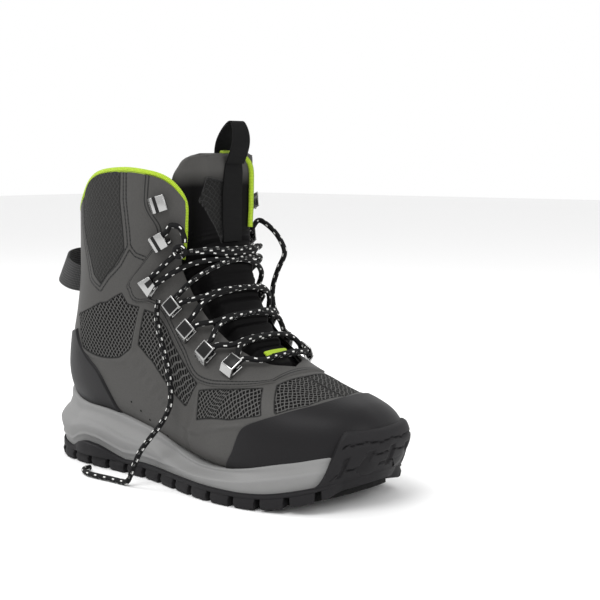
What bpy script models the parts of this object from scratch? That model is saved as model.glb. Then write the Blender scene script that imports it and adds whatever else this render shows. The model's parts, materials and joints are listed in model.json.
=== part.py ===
"""Wading boot for the right foot, felt under a rubber rand, laced over a padded tongue.

The boot stands on its sole: +X points to the toe, +Y to the inner side of the foot, +Z up.
Its shape comes from one last: sections that fan out from the toe, over the instep and up the
shaft. Upper, overlays, tongue, insole and sole are all cut from that last and its offsets.
Sizes are in metres. A table's lengths are shares of the sizes named beside it.
"""
import math

import bmesh
import bpy
import numpy as np
from mathutils import Vector

# Overall sizes
LENGTH = 0.300
BALL_WIDTH = 0.109
SHAFT_WIDTH = 0.102
INSTEP_HEIGHT = 0.157
COLLAR_HEIGHT = 0.218
HEEL_SEAT = 0.031

# Walls and fits
FIT = 0.0003
UPPER_WALL = 0.0024
CAP_THICKNESS = 0.0016
COUNTER_THICKNESS = 0.0018
STAY_THICKNESS = 0.0014
RIM_WALL = 0.0042
TONGUE_THICKNESS = 0.0070
TONGUE_BULGE = 0.0040
INSOLE_THICKNESS = 0.0045

# Webbing, laces and metal
WEB_THICKNESS = 0.0012
LOOP_WIDTH = 0.019
LOOP_HEIGHT = 0.030
LOOP_LEAN = 0.007
STRAP_THICKNESS = 0.0018
STRAP_HEIGHT = 0.020
LACE_WIDTH = 0.0040
LACE_LIFT = 0.0014
PLATE_METAL = 0.0011
HOOK_ROOM = 0.0048
HOOK_REACH = 0.0145
HOOK_WIDTH = 0.0110
LACE_TURN = 0.0032

# Sole
SOLE_FLARE = 0.0105
SOLE_WIDTH = BALL_WIDTH + 2 * SOLE_FLARE
TREAD_DEPTH = 0.0085
TOE_SPRING = 0.016
LUG_HEIGHT = 0.0075
LUG_PITCH = 0.0208
LUG_GAP = 0.0046
LUG_REACH = 0.0135
RAND_LIP = 0.0022
RAND_STEP = 0.0009
TOE_ROUND = 0.0060
FELT_MARGIN = 0.0012
BUMPER_WALL = 0.0034

# Toe bumper: half reach and slant of its ends in shares of the outline, top in INSTEP_HEIGHT
BUMPER_REACH = 0.085
BUMPER_SLANT = 0.040
BUMPER_TOP = 0.352

# Last, from the toe to the heel seat: x in LENGTH, top z in INSTEP_HEIGHT, low z in HEEL_SEAT,
# half widths in BALL_WIDTH
# columns: top x, top z, low x, low z, lateral, medial, widest, crown, base
FOOT_ROWS = (
    (0.988, 0.285, 0.988, 1.443, 0.000, 0.000, 0.50, 2.00, 2.0),
    (0.974, 0.364, 0.977, 0.860, 0.165, 0.229, 0.45, 2.20, 2.6),
    (0.941, 0.420, 0.940, 0.740, 0.294, 0.349, 0.42, 2.30, 3.2),
    (0.889, 0.453, 0.887, 0.600, 0.404, 0.431, 0.40, 2.40, 3.6),
    (0.833, 0.481, 0.813, 0.535, 0.486, 0.468, 0.38, 2.40, 3.8),
    (0.780, 0.516, 0.730, 0.500, 0.523, 0.477, 0.36, 2.40, 3.8),
    (0.723, 0.554, 0.640, 0.500, 0.514, 0.450, 0.34, 2.60, 3.6),
    (0.667, 0.605, 0.553, 0.550, 0.477, 0.422, 0.33, 2.90, 3.4),
    (0.620, 0.669, 0.460, 0.680, 0.440, 0.404, 0.33, 3.10, 3.2),
    (0.580, 0.745, 0.367, 0.810, 0.422, 0.394, 0.35, 3.20, 3.0),
    (0.550, 0.828, 0.273, 0.910, 0.422, 0.399, 0.40, 3.20, 2.7),
    (0.528, 0.917, 0.180, 0.970, 0.422, 0.404, 0.44, 3.20, 2.5),
    (0.517, 1.000, 0.087, 1.000, 0.422, 0.408, 0.46, 3.20, 2.3),
)
# Last, round the heel and up the shaft: the same columns, with top z in shares of the way from
# INSTEP_HEIGHT to COLLAR_HEIGHT, low z in COLLAR_HEIGHT, half widths in SHAFT_WIDTH
SHAFT_ROWS = (
    (0.510, 0.182, 0.020, 0.183, 0.451, 0.441, 0.48, 3.20, 2.15),
    (0.507, 0.328, -0.013, 0.266, 0.461, 0.451, 0.50, 3.20, 2.1),
    (0.505, 0.460, -0.003, 0.385, 0.471, 0.461, 0.50, 3.10, 2.1),
    (0.503, 0.575, 0.025, 0.505, 0.485, 0.475, 0.50, 3.00, 2.15),
    (0.502, 0.703, 0.045, 0.619, 0.495, 0.485, 0.50, 3.00, 2.2),
    (0.500, 0.836, 0.055, 0.734, 0.500, 0.490, 0.50, 3.00, 2.3),
    (0.500, 0.982, 0.058, 0.853, 0.505, 0.495, 0.50, 3.00, 2.3),
    (0.500, 1.179, 0.060, 0.972, 0.505, 0.495, 0.50, 3.00, 2.3),
    (0.500, 1.457, 0.060, 1.128, 0.505, 0.495, 0.50, 3.00, 2.3),
)
HEEL_ROW = 12.0
TOP_ROW = 21.0

# Sole outline from heel to toe: x in LENGTH, lateral and medial y in SOLE_WIDTH
SOLE_ROWS = (
    (-0.027, 0.000, 0.000),
    (-0.007, -0.185, 0.185),
    (0.047, -0.292, 0.292),
    (0.150, -0.346, 0.331),
    (0.283, -0.362, 0.319),
    (0.400, -0.381, 0.315),
    (0.517, -0.446, 0.346),
    (0.623, -0.500, 0.400),
    (0.723, -0.508, 0.442),
    (0.823, -0.465, 0.435),
    (0.913, -0.362, 0.362),
    (0.970, -0.215, 0.254),
    (0.997, 0.023, 0.023),
)
# Ground line and the joint of midsole and tread: x in LENGTH, ground z in TOE_SPRING,
# joint above the ground in TREAD_DEPTH
TREAD_ROWS = (
    (-0.040, 0.16, 1.30),
    (0.040, 0.00, 1.40),
    (0.200, 0.00, 1.25),
    (0.400, 0.00, 1.05),
    (0.600, 0.00, 1.00),
    (0.740, 0.00, 1.00),
    (0.820, 0.12, 1.00),
    (0.900, 0.45, 0.96),
    (0.960, 0.80, 0.86),
    (1.010, 1.10, 0.78),
)
# Midsole side from heel to toe: x in LENGTH, rim heights in HEEL_SEAT, side offsets from the
# outline in RIM_WALL
# columns: x, lateral rim z, medial rim z, foot offset, belly offset, rim wall
MIDSOLE_ROWS = (
    (-0.040, 1.78, 1.78, -0.10, 0.75, 1.00),
    (0.060, 1.53, 1.53, -0.15, 0.60, 1.00),
    (0.230, 1.42, 1.42, -0.30, 0.25, 1.00),
    (0.330, 1.28, 1.34, -0.30, 0.10, 1.00),
    (0.410, 1.11, 1.24, -0.30, 0.05, 1.00),
    (0.470, 0.86, 1.06, -0.30, 0.00, 1.00),
    (0.530, 0.71, 0.90, -0.30, -0.10, 1.00),
    (0.630, 0.68, 0.80, -0.30, -0.25, 1.00),
    (0.740, 0.83, 0.88, -0.30, -0.30, 0.95),
    (0.820, 1.00, 1.02, -0.40, -0.40, 0.85),
    (0.880, 1.12, 1.12, -0.60, -0.60, 0.65),
    (0.940, 1.24, 1.24, -0.75, -0.60, 0.48),
    (1.010, 1.30, 1.30, -0.70, -0.45, 0.48),
)
# Collar line seen from the side: x in LENGTH, z in COLLAR_HEIGHT
COLLAR_ROWS = (
    (0.020, 0.850),
    (0.060, 0.862),
    (0.095, 0.880),
    (0.125, 0.908),
    (0.157, 0.945),
    (0.190, 0.990),
    (0.225, 1.014),
    (0.270, 1.026),
    (0.390, 1.022),
    (0.425, 1.012),
    (0.447, 0.997),
    (0.464, 0.970),
    (0.478, 0.925),
    (0.488, 0.860),
    (0.494, 0.790),
)
# Throat: last row, lateral and medial half opening in SHAFT_WIDTH
THROAT_ROWS = (
    (6.05, 0.03, 0.03),
    (6.30, 0.13, 0.13),
    (6.80, 0.20, 0.20),
    (7.60, 0.25, 0.25),
    (9.00, 0.29, 0.29),
    (11.0, 0.325, 0.325),
    (13.0, 0.345, 0.345),
    (15.0, 0.330, 0.330),
    (17.0, 0.328, 0.328),
    (19.0, 0.333, 0.333),
    (21.0, 0.333, 0.333),
)
# Tongue: last row, half width in SHAFT_WIDTH, bulge in TONGUE_BULGE
TONGUE_ROWS = (
    (5.40, 0.12, -1.25),
    (6.00, 0.20, -1.00),
    (6.70, 0.27, -0.10),
    (7.60, 0.30, 0.45),
    (9.00, 0.34, 0.85),
    (11.0, 0.37, 1.00),
    (13.0, 0.39, 1.10),
    (15.0, 0.41, 1.30),
    (17.0, 0.42, 1.60),
    (19.0, 0.41, 1.90),
    (20.0, 0.37, 2.10),
    (20.35, 0.32, 2.10),
    (20.55, 0.24, 2.10),
)
# Rear edge of the toe cap: half turns from the top line, last row
CAP_ROWS = (
    (0.00, 3.15),
    (0.12, 3.30),
    (0.19, 3.55),
    (0.25, 3.95),
    (0.31, 4.42),
    (0.36, 4.90),
    (0.41, 5.36),
    (0.50, 5.58),
    (0.74, 5.90),
    (1.00, 6.00),
)
# Front edge of the heel counter: last row, half turns from the top line
COUNTER_ROWS = (
    (9.60, 0.80),
    (10.2, 0.75),
    (10.7, 0.70),
    (11.2, 0.645),
    (11.8, 0.605),
    (12.5, 0.594),
    (13.2, 0.611),
    (13.9, 0.636),
    (14.9, 0.683),
    (15.7, 0.72),
)
# Outer edge of the lace plate: last row, half turns from the top line
PLATE_ROWS = (
    (5.56, 0.140),
    (6.00, 0.215),
    (6.40, 0.262),
    (7.10, 0.330),
    (7.65, 0.372),
    (8.14, 0.394),
    (9.60, 0.375),
    (10.8, 0.367),
    (11.8, 0.370),
    (12.6, 0.394),
    (13.4, 0.442),
    (14.1, 0.455),
    (14.6, 0.452),
    (14.9, 0.410),
    (15.2, 0.378),
    (18.7, 0.388),
    (21.0, 0.370),
)
# Lacing from the toe up: last row, half turns from the top line, outer and throat side width
# in HOOK_WIDTH
BRACKET_ROWS = (
    (7.20, 0.225, 1.00, 1.00),
    (8.49, 0.281, 1.00, 1.00),
    (9.88, 0.300, 1.00, 1.00),
    (11.22, 0.311, 1.00, 1.00),
    (13.30, 0.370, 1.35, 0.75),
    (15.59, 0.314, 1.05, 1.05),
    (18.12, 0.308, 1.05, 1.05),
)
# Heel strap seen from above, lateral half: x in LENGTH, y in SHAFT_WIDTH, lower edge in
# COLLAR_HEIGHT
STRAP_ROWS = (
    (0.090, -0.255, 0.598),
    (0.040, -0.290, 0.607),
    (-0.012, -0.255, 0.625),
    (-0.040, -0.180, 0.645),
    (-0.050, -0.090, 0.655),
    (-0.053, 0.000, 0.658),
)

# Routes of the free lace: x in LENGTH, y in SOLE_WIDTH, z in COLLAR_HEIGHT
LACE_END_ROWS = (
    (0.4350, -0.376, 0.612),
    (0.4310, -0.382, 0.560),
    (0.4440, -0.391, 0.500),
    (0.4600, -0.395, 0.445),
    (0.4750, -0.399, 0.390),
    (0.4850, -0.405, 0.330),
    (0.4900, -0.420, 0.275),
    (0.4780, -0.452, 0.220),
    (0.4550, -0.486, 0.170),
    (0.4300, -0.520, 0.115),
    (0.4160, -0.548, 0.055),
    (0.4040, -0.560, 0.0175),
    (0.3800, -0.555, 0.0108),
    (0.3400, -0.552, 0.0105),
    (0.2910, -0.555, 0.0105),
    (0.2500, -0.544, 0.0105),
    (0.2160, -0.498, 0.0105),
    (0.2120, -0.447, 0.0105),
)
LOOP_LATERAL_ROWS = (
    (0.4700, -0.356, 0.857),
    (0.4870, -0.326, 0.850),
    (0.4950, -0.312, 0.820),
    (0.4960, -0.312, 0.800),
)
LOOP_MEDIAL_ROWS = (
    (0.4640, 0.385, 0.858),
    (0.5000, 0.400, 0.830),
    (0.5310, 0.400, 0.788),
    (0.5430, 0.400, 0.745),
    (0.5230, 0.400, 0.693),
    (0.5050, 0.400, 0.633),
    (0.5030, 0.400, 0.577),
    (0.5130, 0.398, 0.538),
    (0.5200, 0.392, 0.515),
)
KNOT_PLACE = (0.4925, -0.334, 0.773)
KNOT_RADIUS = 0.0034
KNOT_TURNS = 1.35

CORD_NODES = []


def hermite(table, x, column):
    """Read one column of a table as a smooth curve over its first column."""
    data = np.asarray(table, float)
    keys = data[:, 0]
    values = data[:, column]
    slopes = np.gradient(values, keys)
    x = np.clip(np.asarray(x, float), keys[0], keys[-1])
    i = np.clip(np.searchsorted(keys, x, side="right") - 1, 0, len(keys) - 2)
    width = keys[i + 1] - keys[i]
    t = (x - keys[i]) / width
    rise = values[i] * (2 * t**3 - 3 * t**2 + 1) + values[i + 1] * (3 * t**2 - 2 * t**3)
    bend = slopes[i] * (t**3 - 2 * t**2 + t) + slopes[i + 1] * (t**3 - t**2)
    return rise + width * bend


def catmull(rows, at, closed=False):
    """Smooth curve through the rows, one unit of the parameter from row to row."""
    count = len(rows)
    if closed:
        i = np.floor(at).astype(int)
        points = [rows[(i + k) % count] for k in (-1, 0, 1, 2)]
    else:
        i = np.clip(np.floor(at).astype(int), 0, count - 2)
        padded = np.vstack([2 * rows[0] - rows[1], rows, 2 * rows[-1] - rows[-2]])
        points = [padded[i + 1 + k] for k in (-1, 0, 1, 2)]
    t = (at - i)[:, None]
    a, b, c, d = points
    cubic = 3 * b - a - 3 * c + d
    return 0.5 * (2 * b + (c - a) * t + (2 * a - 5 * b + 4 * c - d) * t * t + cubic * t**3)


def last_table():
    """Both row tables in metres."""
    foot = np.array(FOOT_ROWS) * (
        LENGTH, INSTEP_HEIGHT, LENGTH, HEEL_SEAT, BALL_WIDTH, BALL_WIDTH, 1, 1, 1)
    shaft = np.array(SHAFT_ROWS) * (
        LENGTH, COLLAR_HEIGHT - INSTEP_HEIGHT, LENGTH, COLLAR_HEIGHT, SHAFT_WIDTH, SHAFT_WIDTH,
        1, 1, 1)
    shaft[:, 1] += INSTEP_HEIGHT
    return np.vstack([foot, shaft])


LAST = last_table()


def last_skin(row, turn):
    """Points on the last: turn is 0 on the top line, negative on the lateral side."""
    row, turn = np.broadcast_arrays(np.asarray(row, float), np.asarray(turn, float))
    shape = row.shape
    row = row.ravel()
    turn = turn.ravel()
    top_x, top_z, low_x, low_z, lateral, medial, widest, crown, base = catmull(LAST, row).T
    power = 2 / np.where(np.cos(turn) >= 0, crown, base)
    rise = np.abs(np.cos(turn)) ** power
    share = np.where(np.cos(turn) >= 0, widest + (1 - widest) * rise, widest - widest * rise)
    reach = np.abs(np.sin(turn)) ** power
    y = np.where(np.sin(turn) < 0, -np.maximum(lateral, 0), np.maximum(medial, 0)) * reach
    x = low_x + (top_x - low_x) * share
    z = low_z + (top_z - low_z) * share
    return np.stack([x, y, z], -1).reshape(shape + (3,))


def last_normal(row, turn):
    """Outward normals of the last, from small steps along both parameters."""
    row, turn = np.broadcast_arrays(np.asarray(row, float), np.asarray(turn, float))
    step = 0.03
    row = np.clip(row, 2 * step, TOP_ROW - step)
    along = last_skin(row + step, turn) - last_skin(row - step, turn)
    round_ = last_skin(row, turn + step) - last_skin(row, turn - step)
    normal = np.cross(along, round_)
    normal /= np.maximum(np.linalg.norm(normal, axis=-1, keepdims=True), 1e-12)
    middle = (last_skin(row, 0 * turn) + last_skin(row, 0 * turn + math.pi)) / 2
    outward = np.sum(normal * (last_skin(row, turn) - middle), axis=-1, keepdims=True)
    return normal * np.where(outward < 0, -1, 1)


def last_point(row, turn, out=0.0):
    """Point of the last at a distance out from its skin."""
    return last_skin(row, turn) + np.asarray(out)[..., None] * last_normal(row, turn)


def turn_at(row, y):
    """Turn on the crown side at which a row reaches the sideways distance y."""
    rows = catmull(LAST, np.atleast_1d(np.asarray(row, float)))
    half = np.where(np.asarray(y) < 0, rows[:, 4], rows[:, 5])
    share = np.clip(np.abs(y) / half, 0, 1)
    return np.sign(y) * np.arcsin(share ** (rows[:, 7] / 2))


def half_widths(x, z):
    """Half width of the last beside points of its middle plane, 0 outside its side view."""
    x = np.asarray(x, float)
    z = np.asarray(z, float)
    low = np.zeros_like(x)
    high = np.full_like(x, TOP_ROW)
    for _ in range(26):
        middle = (low + high) / 2
        rows = catmull(LAST, middle.ravel())
        side = (rows[:, 0] - rows[:, 2]) * (z.ravel() - rows[:, 3])
        side = side - (rows[:, 1] - rows[:, 3]) * (x.ravel() - rows[:, 2])
        behind = side.reshape(x.shape) > 0
        low = np.where(behind, middle, low)
        high = np.where(behind, high, middle)
    rows = catmull(LAST, low.ravel())
    run = (rows[:, 0] - rows[:, 2]) ** 2 + (rows[:, 1] - rows[:, 3]) ** 2
    share = (x.ravel() - rows[:, 2]) * (rows[:, 0] - rows[:, 2])
    share = share + (z.ravel() - rows[:, 3]) * (rows[:, 1] - rows[:, 3])
    share = share / np.maximum(run, 1e-12)
    widest = rows[:, 6]
    upper = share >= widest
    power = np.where(upper, rows[:, 7], rows[:, 8])
    spread = np.where(upper, (share - widest) / (1 - widest), (widest - share) / widest)
    spread = np.clip(1 - np.clip(spread, 0, 1) ** power, 0, 1) ** (1 / power)
    inside = (share > 0) & (share < 1)
    lateral = np.where(inside, rows[:, 4] * spread, 0)
    medial = np.where(inside, rows[:, 5] * spread, 0)
    return lateral.reshape(x.shape), medial.reshape(x.shape)


def depth_of_last(points, normals, z):
    """Distance inwards from points of the sole outline to the skin of the last at height z."""
    near = np.full(len(points), -0.012)
    far = np.full(len(points), 0.040)
    for _ in range(22):
        middle = (near + far) / 2
        spot = points - normals * middle[:, None]
        lateral, medial = half_widths(spot[:, 0], z)
        inside = np.where(spot[:, 1] < 0, -spot[:, 1] < lateral, spot[:, 1] < medial)
        far = np.where(inside, middle, far)
        near = np.where(inside, near, middle)
    return far


def outline(share):
    """Sole outline and its outward normals: 0 at the heel, lateral first, 0.5 at the toe."""
    rows = np.array(SOLE_ROWS) * (LENGTH, SOLE_WIDTH, SOLE_WIDTH)
    lateral = rows[:, (0, 1)]
    medial = rows[-2:0:-1, (0, 2)]
    loop = np.vstack([lateral, medial])
    at = np.asarray(share, float) % 1.0 * len(loop)
    step = 0.02
    points = catmull(loop, at, closed=True)
    run = catmull(loop, at + step, closed=True)
    run = run - catmull(loop, at - step + len(loop), closed=True)
    run /= np.linalg.norm(run, axis=1, keepdims=True)
    return points, np.stack([run[:, 1], -run[:, 0]], -1)


def ground(x):
    return TOE_SPRING * np.maximum(hermite(TREAD_ROWS, np.asarray(x) / LENGTH, 1), 0)


def tread_top(x):
    return ground(x) + TREAD_DEPTH * hermite(TREAD_ROWS, np.asarray(x) / LENGTH, 2)


def material(name, colour, roughness, metallic=0.0):
    made = bpy.data.materials.new(name)
    made.use_nodes = True
    shader = made.node_tree.nodes["Principled BSDF"]
    shader.inputs["Base Color"].default_value = (*colour, 1)
    shader.inputs["Roughness"].default_value = roughness
    shader.inputs["Metallic"].default_value = metallic
    return made


def make_object(name, verts, faces, finish=None):
    """Closed mesh object with its faces pointing out."""
    mesh = bpy.data.meshes.new(name)
    mesh.from_pydata([tuple(map(float, v)) for v in verts], [], faces)
    shaped = bmesh.new()
    shaped.from_mesh(mesh)
    bmesh.ops.triangulate(shaped, faces=shaped.faces)
    bmesh.ops.recalc_face_normals(shaped, faces=shaped.faces)
    shaped.to_mesh(mesh)
    shaped.free()
    mesh.shade_smooth()
    mesh.set_sharp_from_angle(angle=math.radians(38))
    made = bpy.data.objects.new(name, mesh)
    bpy.context.collection.objects.link(made)
    if finish:
        mesh.materials.append(finish)
    return made


def make_cutter(name, verts, faces):
    made = make_object(name, verts, faces)
    made.hide_render = True
    made.display_type = "WIRE"
    return made


def merge_flats(target):
    """Dissolve the needless edges that the cuts leave on flat faces."""
    flat = target.modifiers.new("flats", "DECIMATE")
    flat.decimate_type = "DISSOLVE"
    flat.angle_limit = math.radians(1.0)
    target.modifiers.new("triangles", "TRIANGULATE")


def cut(target, tool, kind="DIFFERENCE"):
    step = target.modifiers.new(tool.name, "BOOLEAN")
    step.operation = kind
    step.solver = "EXACT"
    step.object = tool
    return target


def grid_faces(rows, columns, closed):
    """Quads of a grid of points that is closed across its columns or open."""
    faces = []
    for i in range(rows - 1):
        for j in range(columns if closed else columns - 1):
            k = (j + 1) % columns
            faces.append((i * columns + j, i * columns + k, (i + 1) * columns + k,
                          (i + 1) * columns + j))
    return faces


def last_solid(row_list, turn_count, out, under=0.0):
    """Verts and faces of the whole last at one offset, its underside let down by under."""
    turns = np.linspace(-math.pi, math.pi, turn_count, endpoint=False)
    if under:
        turns = turns + 0.5 * (turns[1] - turns[0])
    grid = last_point(np.asarray(row_list)[:, None], turns[None, :], out)
    if under:
        low = np.clip((np.abs(turns) / math.pi - 0.80) / 0.06, 0, 1)[None, :]
        seat = np.clip((HEEL_ROW + 0.4 - np.asarray(row_list)) / 0.5, 0, 1)
        seat = np.minimum(seat, np.clip((np.asarray(row_list) - 0.5) / 0.6, 0, 1))[:, None]
        grid[..., 2] -= under * low * seat
    tip = last_point(0.0, 0.0, out)
    verts = [tip] + list(grid.reshape(-1, 3))
    faces = [tuple(v + 1 for v in face) for face in grid_faces(len(row_list), turn_count, True)]
    faces += [(0, 1 + (j + 1) % turn_count, 1 + j) for j in range(turn_count)]
    last_ring = 1 + (len(row_list) - 1) * turn_count
    faces.append(tuple(last_ring + j for j in range(turn_count)))
    return verts, faces


def slab(inner, outer):
    """Verts and faces of the solid between two open grids of the same size."""
    rows, columns = inner.shape[:2]
    count = rows * columns
    verts = list(inner.reshape(-1, 3)) + list(outer.reshape(-1, 3))
    sheet = grid_faces(rows, columns, False)
    faces = [tuple(reversed(face)) for face in sheet]
    faces += [tuple(v + count for v in face) for face in sheet]
    border = [j for j in range(columns)]
    border += [i * columns + columns - 1 for i in range(1, rows)]
    border += [(rows - 1) * columns + j for j in range(columns - 2, -1, -1)]
    border += [i * columns for i in range(rows - 2, 0, -1)]
    for a, b in zip(border, border[1:] + border[:1]):
        faces.append((a, b, b + count, a + count))
    return verts, faces


def ring_solid(rings):
    """Solid through closed rings of the sole, filled across from lateral to medial side."""
    count = len(rings[0])
    verts = [point for ring in rings for point in ring]
    faces = grid_faces(len(rings), count, True)
    half = count // 2
    for base in (0, (len(rings) - 1) * count):
        faces.append((base, base + 1, base + count - 1))
        for i in range(1, half - 1):
            faces.append((base + i, base + i + 1, base + count - i - 1, base + count - i))
        faces.append((base + half - 1, base + half, base + half + 1))
    return verts, faces


ROW_STEPS = (0.45, 1.1, 1.9, 2.8, 3.8, 4.8, 5.8, 6.8, 7.8, 8.8, 9.8, 10.7, 11.5, 12.2, 12.8, 13.4,
             14.0, 14.8, 15.7, 16.8, 18.2, 21)
TURN_COUNT = 24
STATIONS = 56
REGION = 2.2 * UPPER_WALL


def midsole_blank(grow=0.0, flare=0.0):
    """Rings of the midsole's outside, with its top closed inside the last."""
    points, normals = outline(np.arange(STATIONS) / STATIONS)
    share = points[:, 0] / LENGTH
    lateral = hermite(MIDSOLE_ROWS, share, 1)
    medial = hermite(MIDSOLE_ROWS, share, 2)
    side = np.clip(points[:, 1] / (0.2 * SOLE_WIDTH), -1, 1) / 2 + 0.5
    rim = HEEL_SEAT * (lateral + (medial - lateral) * side) + grow
    foot = RIM_WALL * hermite(MIDSOLE_ROWS, share, 3) + grow + flare
    belly = RIM_WALL * hermite(MIDSOLE_ROWS, share, 4) + grow + flare
    base = tread_top(points[:, 0]) - grow
    wall = RIM_WALL * hermite(MIDSOLE_ROWS, share, 5) + grow
    top = depth_of_last(points, normals, rim)
    neck = rim - 0.16 * (rim - base)
    waist = base + 0.45 * (rim - base)
    neck_depth = depth_of_last(points, normals, neck)

    def ring(outward, z):
        return np.column_stack([points + normals * outward[:, None], z])

    rim_out = np.maximum(wall - top, -0.010)
    rim_out = (np.roll(rim_out, 1) + 2 * rim_out + np.roll(rim_out, -1)) / 4
    neck_out = np.maximum(wall * 1.25 - neck_depth, rim_out)
    return ring_solid([
        ring(foot, base),
        ring(belly, waist),
        ring(neck_out, neck),
        ring(rim_out, rim),
        ring(np.minimum(-top, rim_out) - 0.007, rim),
    ])


def build_upper(finish):
    verts, faces = last_solid(ROW_STEPS, TURN_COUNT, 0.0)
    upper = make_object("upper", verts, faces, finish)
    verts, faces = last_solid(ROW_STEPS, TURN_COUNT, -UPPER_WALL, under=0.020)
    cut(upper, make_cutter("cutter_collar", *collar_prism()))
    cut(upper, make_cutter("cutter_inside", verts, faces))
    cut(upper, make_cutter("cutter_throat", *throat_block()))
    return upper


def collar_prism():
    """Everything above the collar line."""
    corner = COLLAR_ROWS[8][0]
    at = np.append(np.linspace(COLLAR_ROWS[0][0], corner, 14)[:-1],
                   np.linspace(corner, COLLAR_ROWS[-1][0], 11))
    line = [(LENGTH * x, COLLAR_HEIGHT * z) for x, z in zip(at, hermite(COLLAR_ROWS, at, 1))]
    high = COLLAR_HEIGHT * 1.3
    front = LENGTH * 0.7
    line = [(-0.1 * LENGTH, high), (-0.1 * LENGTH, line[0][1] - 0.002)] + line
    line += [(front, line[-1][1] - 0.02), (front, high)]
    wide = SHAFT_WIDTH
    verts = [(x, -wide, z) for x, z in line] + [(x, wide, z) for x, z in line]
    count = len(line)
    faces = [tuple(range(count)), tuple(range(2 * count - 1, count - 1, -1))]
    for i in range(count):
        k = (i + 1) % count
        faces.append((i, i + count, k + count, k))
    return verts, faces


def throat_block():
    """Block through the upper's wall between the lace plates."""
    rows = np.concatenate([[6.05, 6.15, 6.35, 6.6], np.arange(7, TOP_ROW + 0.1, 0.8)])
    lateral = SHAFT_WIDTH * hermite(THROAT_ROWS, rows, 1)
    medial = SHAFT_WIDTH * hermite(THROAT_ROWS, rows, 2)
    spread = np.linspace(-1, 1, 9)
    y = np.where(spread[None, :] < 0, spread * lateral[:, None], spread * medial[:, None])
    row_grid = np.broadcast_to(rows[:, None], y.shape)
    turns = turn_at(row_grid.ravel(), y.ravel()).reshape(y.shape)
    return slab(last_point(row_grid, turns, -5 * UPPER_WALL), last_point(row_grid, turns, 6 * UPPER_WALL))


def build_midsole(finish):
    midsole = make_object("midsole", *midsole_blank(), finish)
    cut(midsole, make_cutter("cutter_last", *last_solid(ROW_STEPS, TURN_COUNT, FIT)))
    return midsole


def lug_stations():
    """Shares of the outline at the lug edges, and whether each stands on a lug."""
    fine = np.linspace(0, 1, 1201)
    points = outline(fine)[0]
    run = np.concatenate([[0], np.cumsum(np.linalg.norm(np.diff(points, axis=0), axis=1))])
    count = round(run[-1] / LUG_PITCH)
    pitch = run[-1] / count
    draft = 0.0006
    shares = []
    standing = []
    for i in range(count):
        start = i * pitch + LUG_GAP / 2
        end = (i + 1) * pitch - LUG_GAP / 2
        for place, up in ((start - draft, 0), (start, 1), (end, 1), (end + draft, 0)):
            share = np.interp(place, run, fine)
            shares.append(share)
            standing.append(max(up, float(abs(share - 0.5) < BUMPER_REACH - BUMPER_SLANT / 2)))
    return np.array(shares), np.array(standing, float)


def bumper_lift(share):
    """1 round the toe, where the rand climbs into the bumper, 0 elsewhere."""
    return np.clip((BUMPER_REACH - np.abs(share % 1.0 - 0.5)) / BUMPER_SLANT, 0, 1)


def heel_panel(share):
    """1 on the lateral heel, where the tread climbs the midsole in a low peak."""
    return np.clip(1 - np.abs(share % 1.0 - 0.105) / 0.060, 0, 1)


def build_outsole(finish):
    shares, standing = lug_stations()
    points, normals = outline(shares)
    floor = ground(points[:, 0])
    joint = tread_top(points[:, 0])
    foot = floor + (1 - standing) * LUG_HEIGHT
    lift = bumper_lift(shares)
    panel = heel_panel(shares)
    lip = joint + RAND_LIP + panel * 0.0065
    peak = lip + lift * (BUMPER_TOP * INSTEP_HEIGHT - lip)

    def ring(outward, z):
        return np.column_stack([points + normals * np.asarray(outward)[:, None], z])

    ones = np.ones_like(floor)
    over = BUMPER_WALL + CAP_THICKNESS + FIT

    def bumper_ring(level):
        z = lip + level * (peak - lip)
        lean = over - depth_of_last(points, normals, np.maximum(z, 1.2 * HEEL_SEAT))
        leaning = np.clip((z - 1.05 * HEEL_SEAT) / (0.4 * HEEL_SEAT), 0, 1)
        return ring(RAND_STEP + leaning * (lean - RAND_STEP), z + level * FIT)

    rings = [
        ring(-LUG_REACH * ones, joint + 0.004),
        ring(-LUG_REACH * ones, foot),
        ring(-0.0012 - TOE_ROUND * lift, foot),
        ring(0.0004 - 0.25 * TOE_ROUND * lift, floor + LUG_HEIGHT),
        bumper_ring(0.30),
        bumper_ring(0.60),
        bumper_ring(1.00),
        ring(-1.1 * LUG_REACH * ones, peak + 2 * FIT),
    ]
    count = len(shares)
    verts = [v for one in rings for v in one]
    faces = grid_faces(len(rings), count, True)
    base = (len(rings) - 1) * count
    faces += [(base + i, base + (i + 1) % count, (i + 1) % count, i) for i in range(count)]
    outsole = make_object("outsole", verts, faces, finish)
    cut(outsole, make_cutter("cutter_midsole", *midsole_blank(FIT)))
    over_cap = last_solid(ROW_STEPS, TURN_COUNT, CAP_THICKNESS + 2 * FIT)
    cut(outsole, make_cutter("cutter_over_cap", *over_cap))
    return outsole


def build_felt(finish):
    points, normals = outline(np.arange(STATIONS) / STATIONS)
    inset = points - normals * (LUG_REACH + FELT_MARGIN)
    low = np.column_stack([inset, ground(inset[:, 0])])
    high = np.column_stack([inset, tread_top(inset[:, 0]) - 2 * FIT])
    return make_object("felt_pad", *ring_solid([low, high]), finish)


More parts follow.
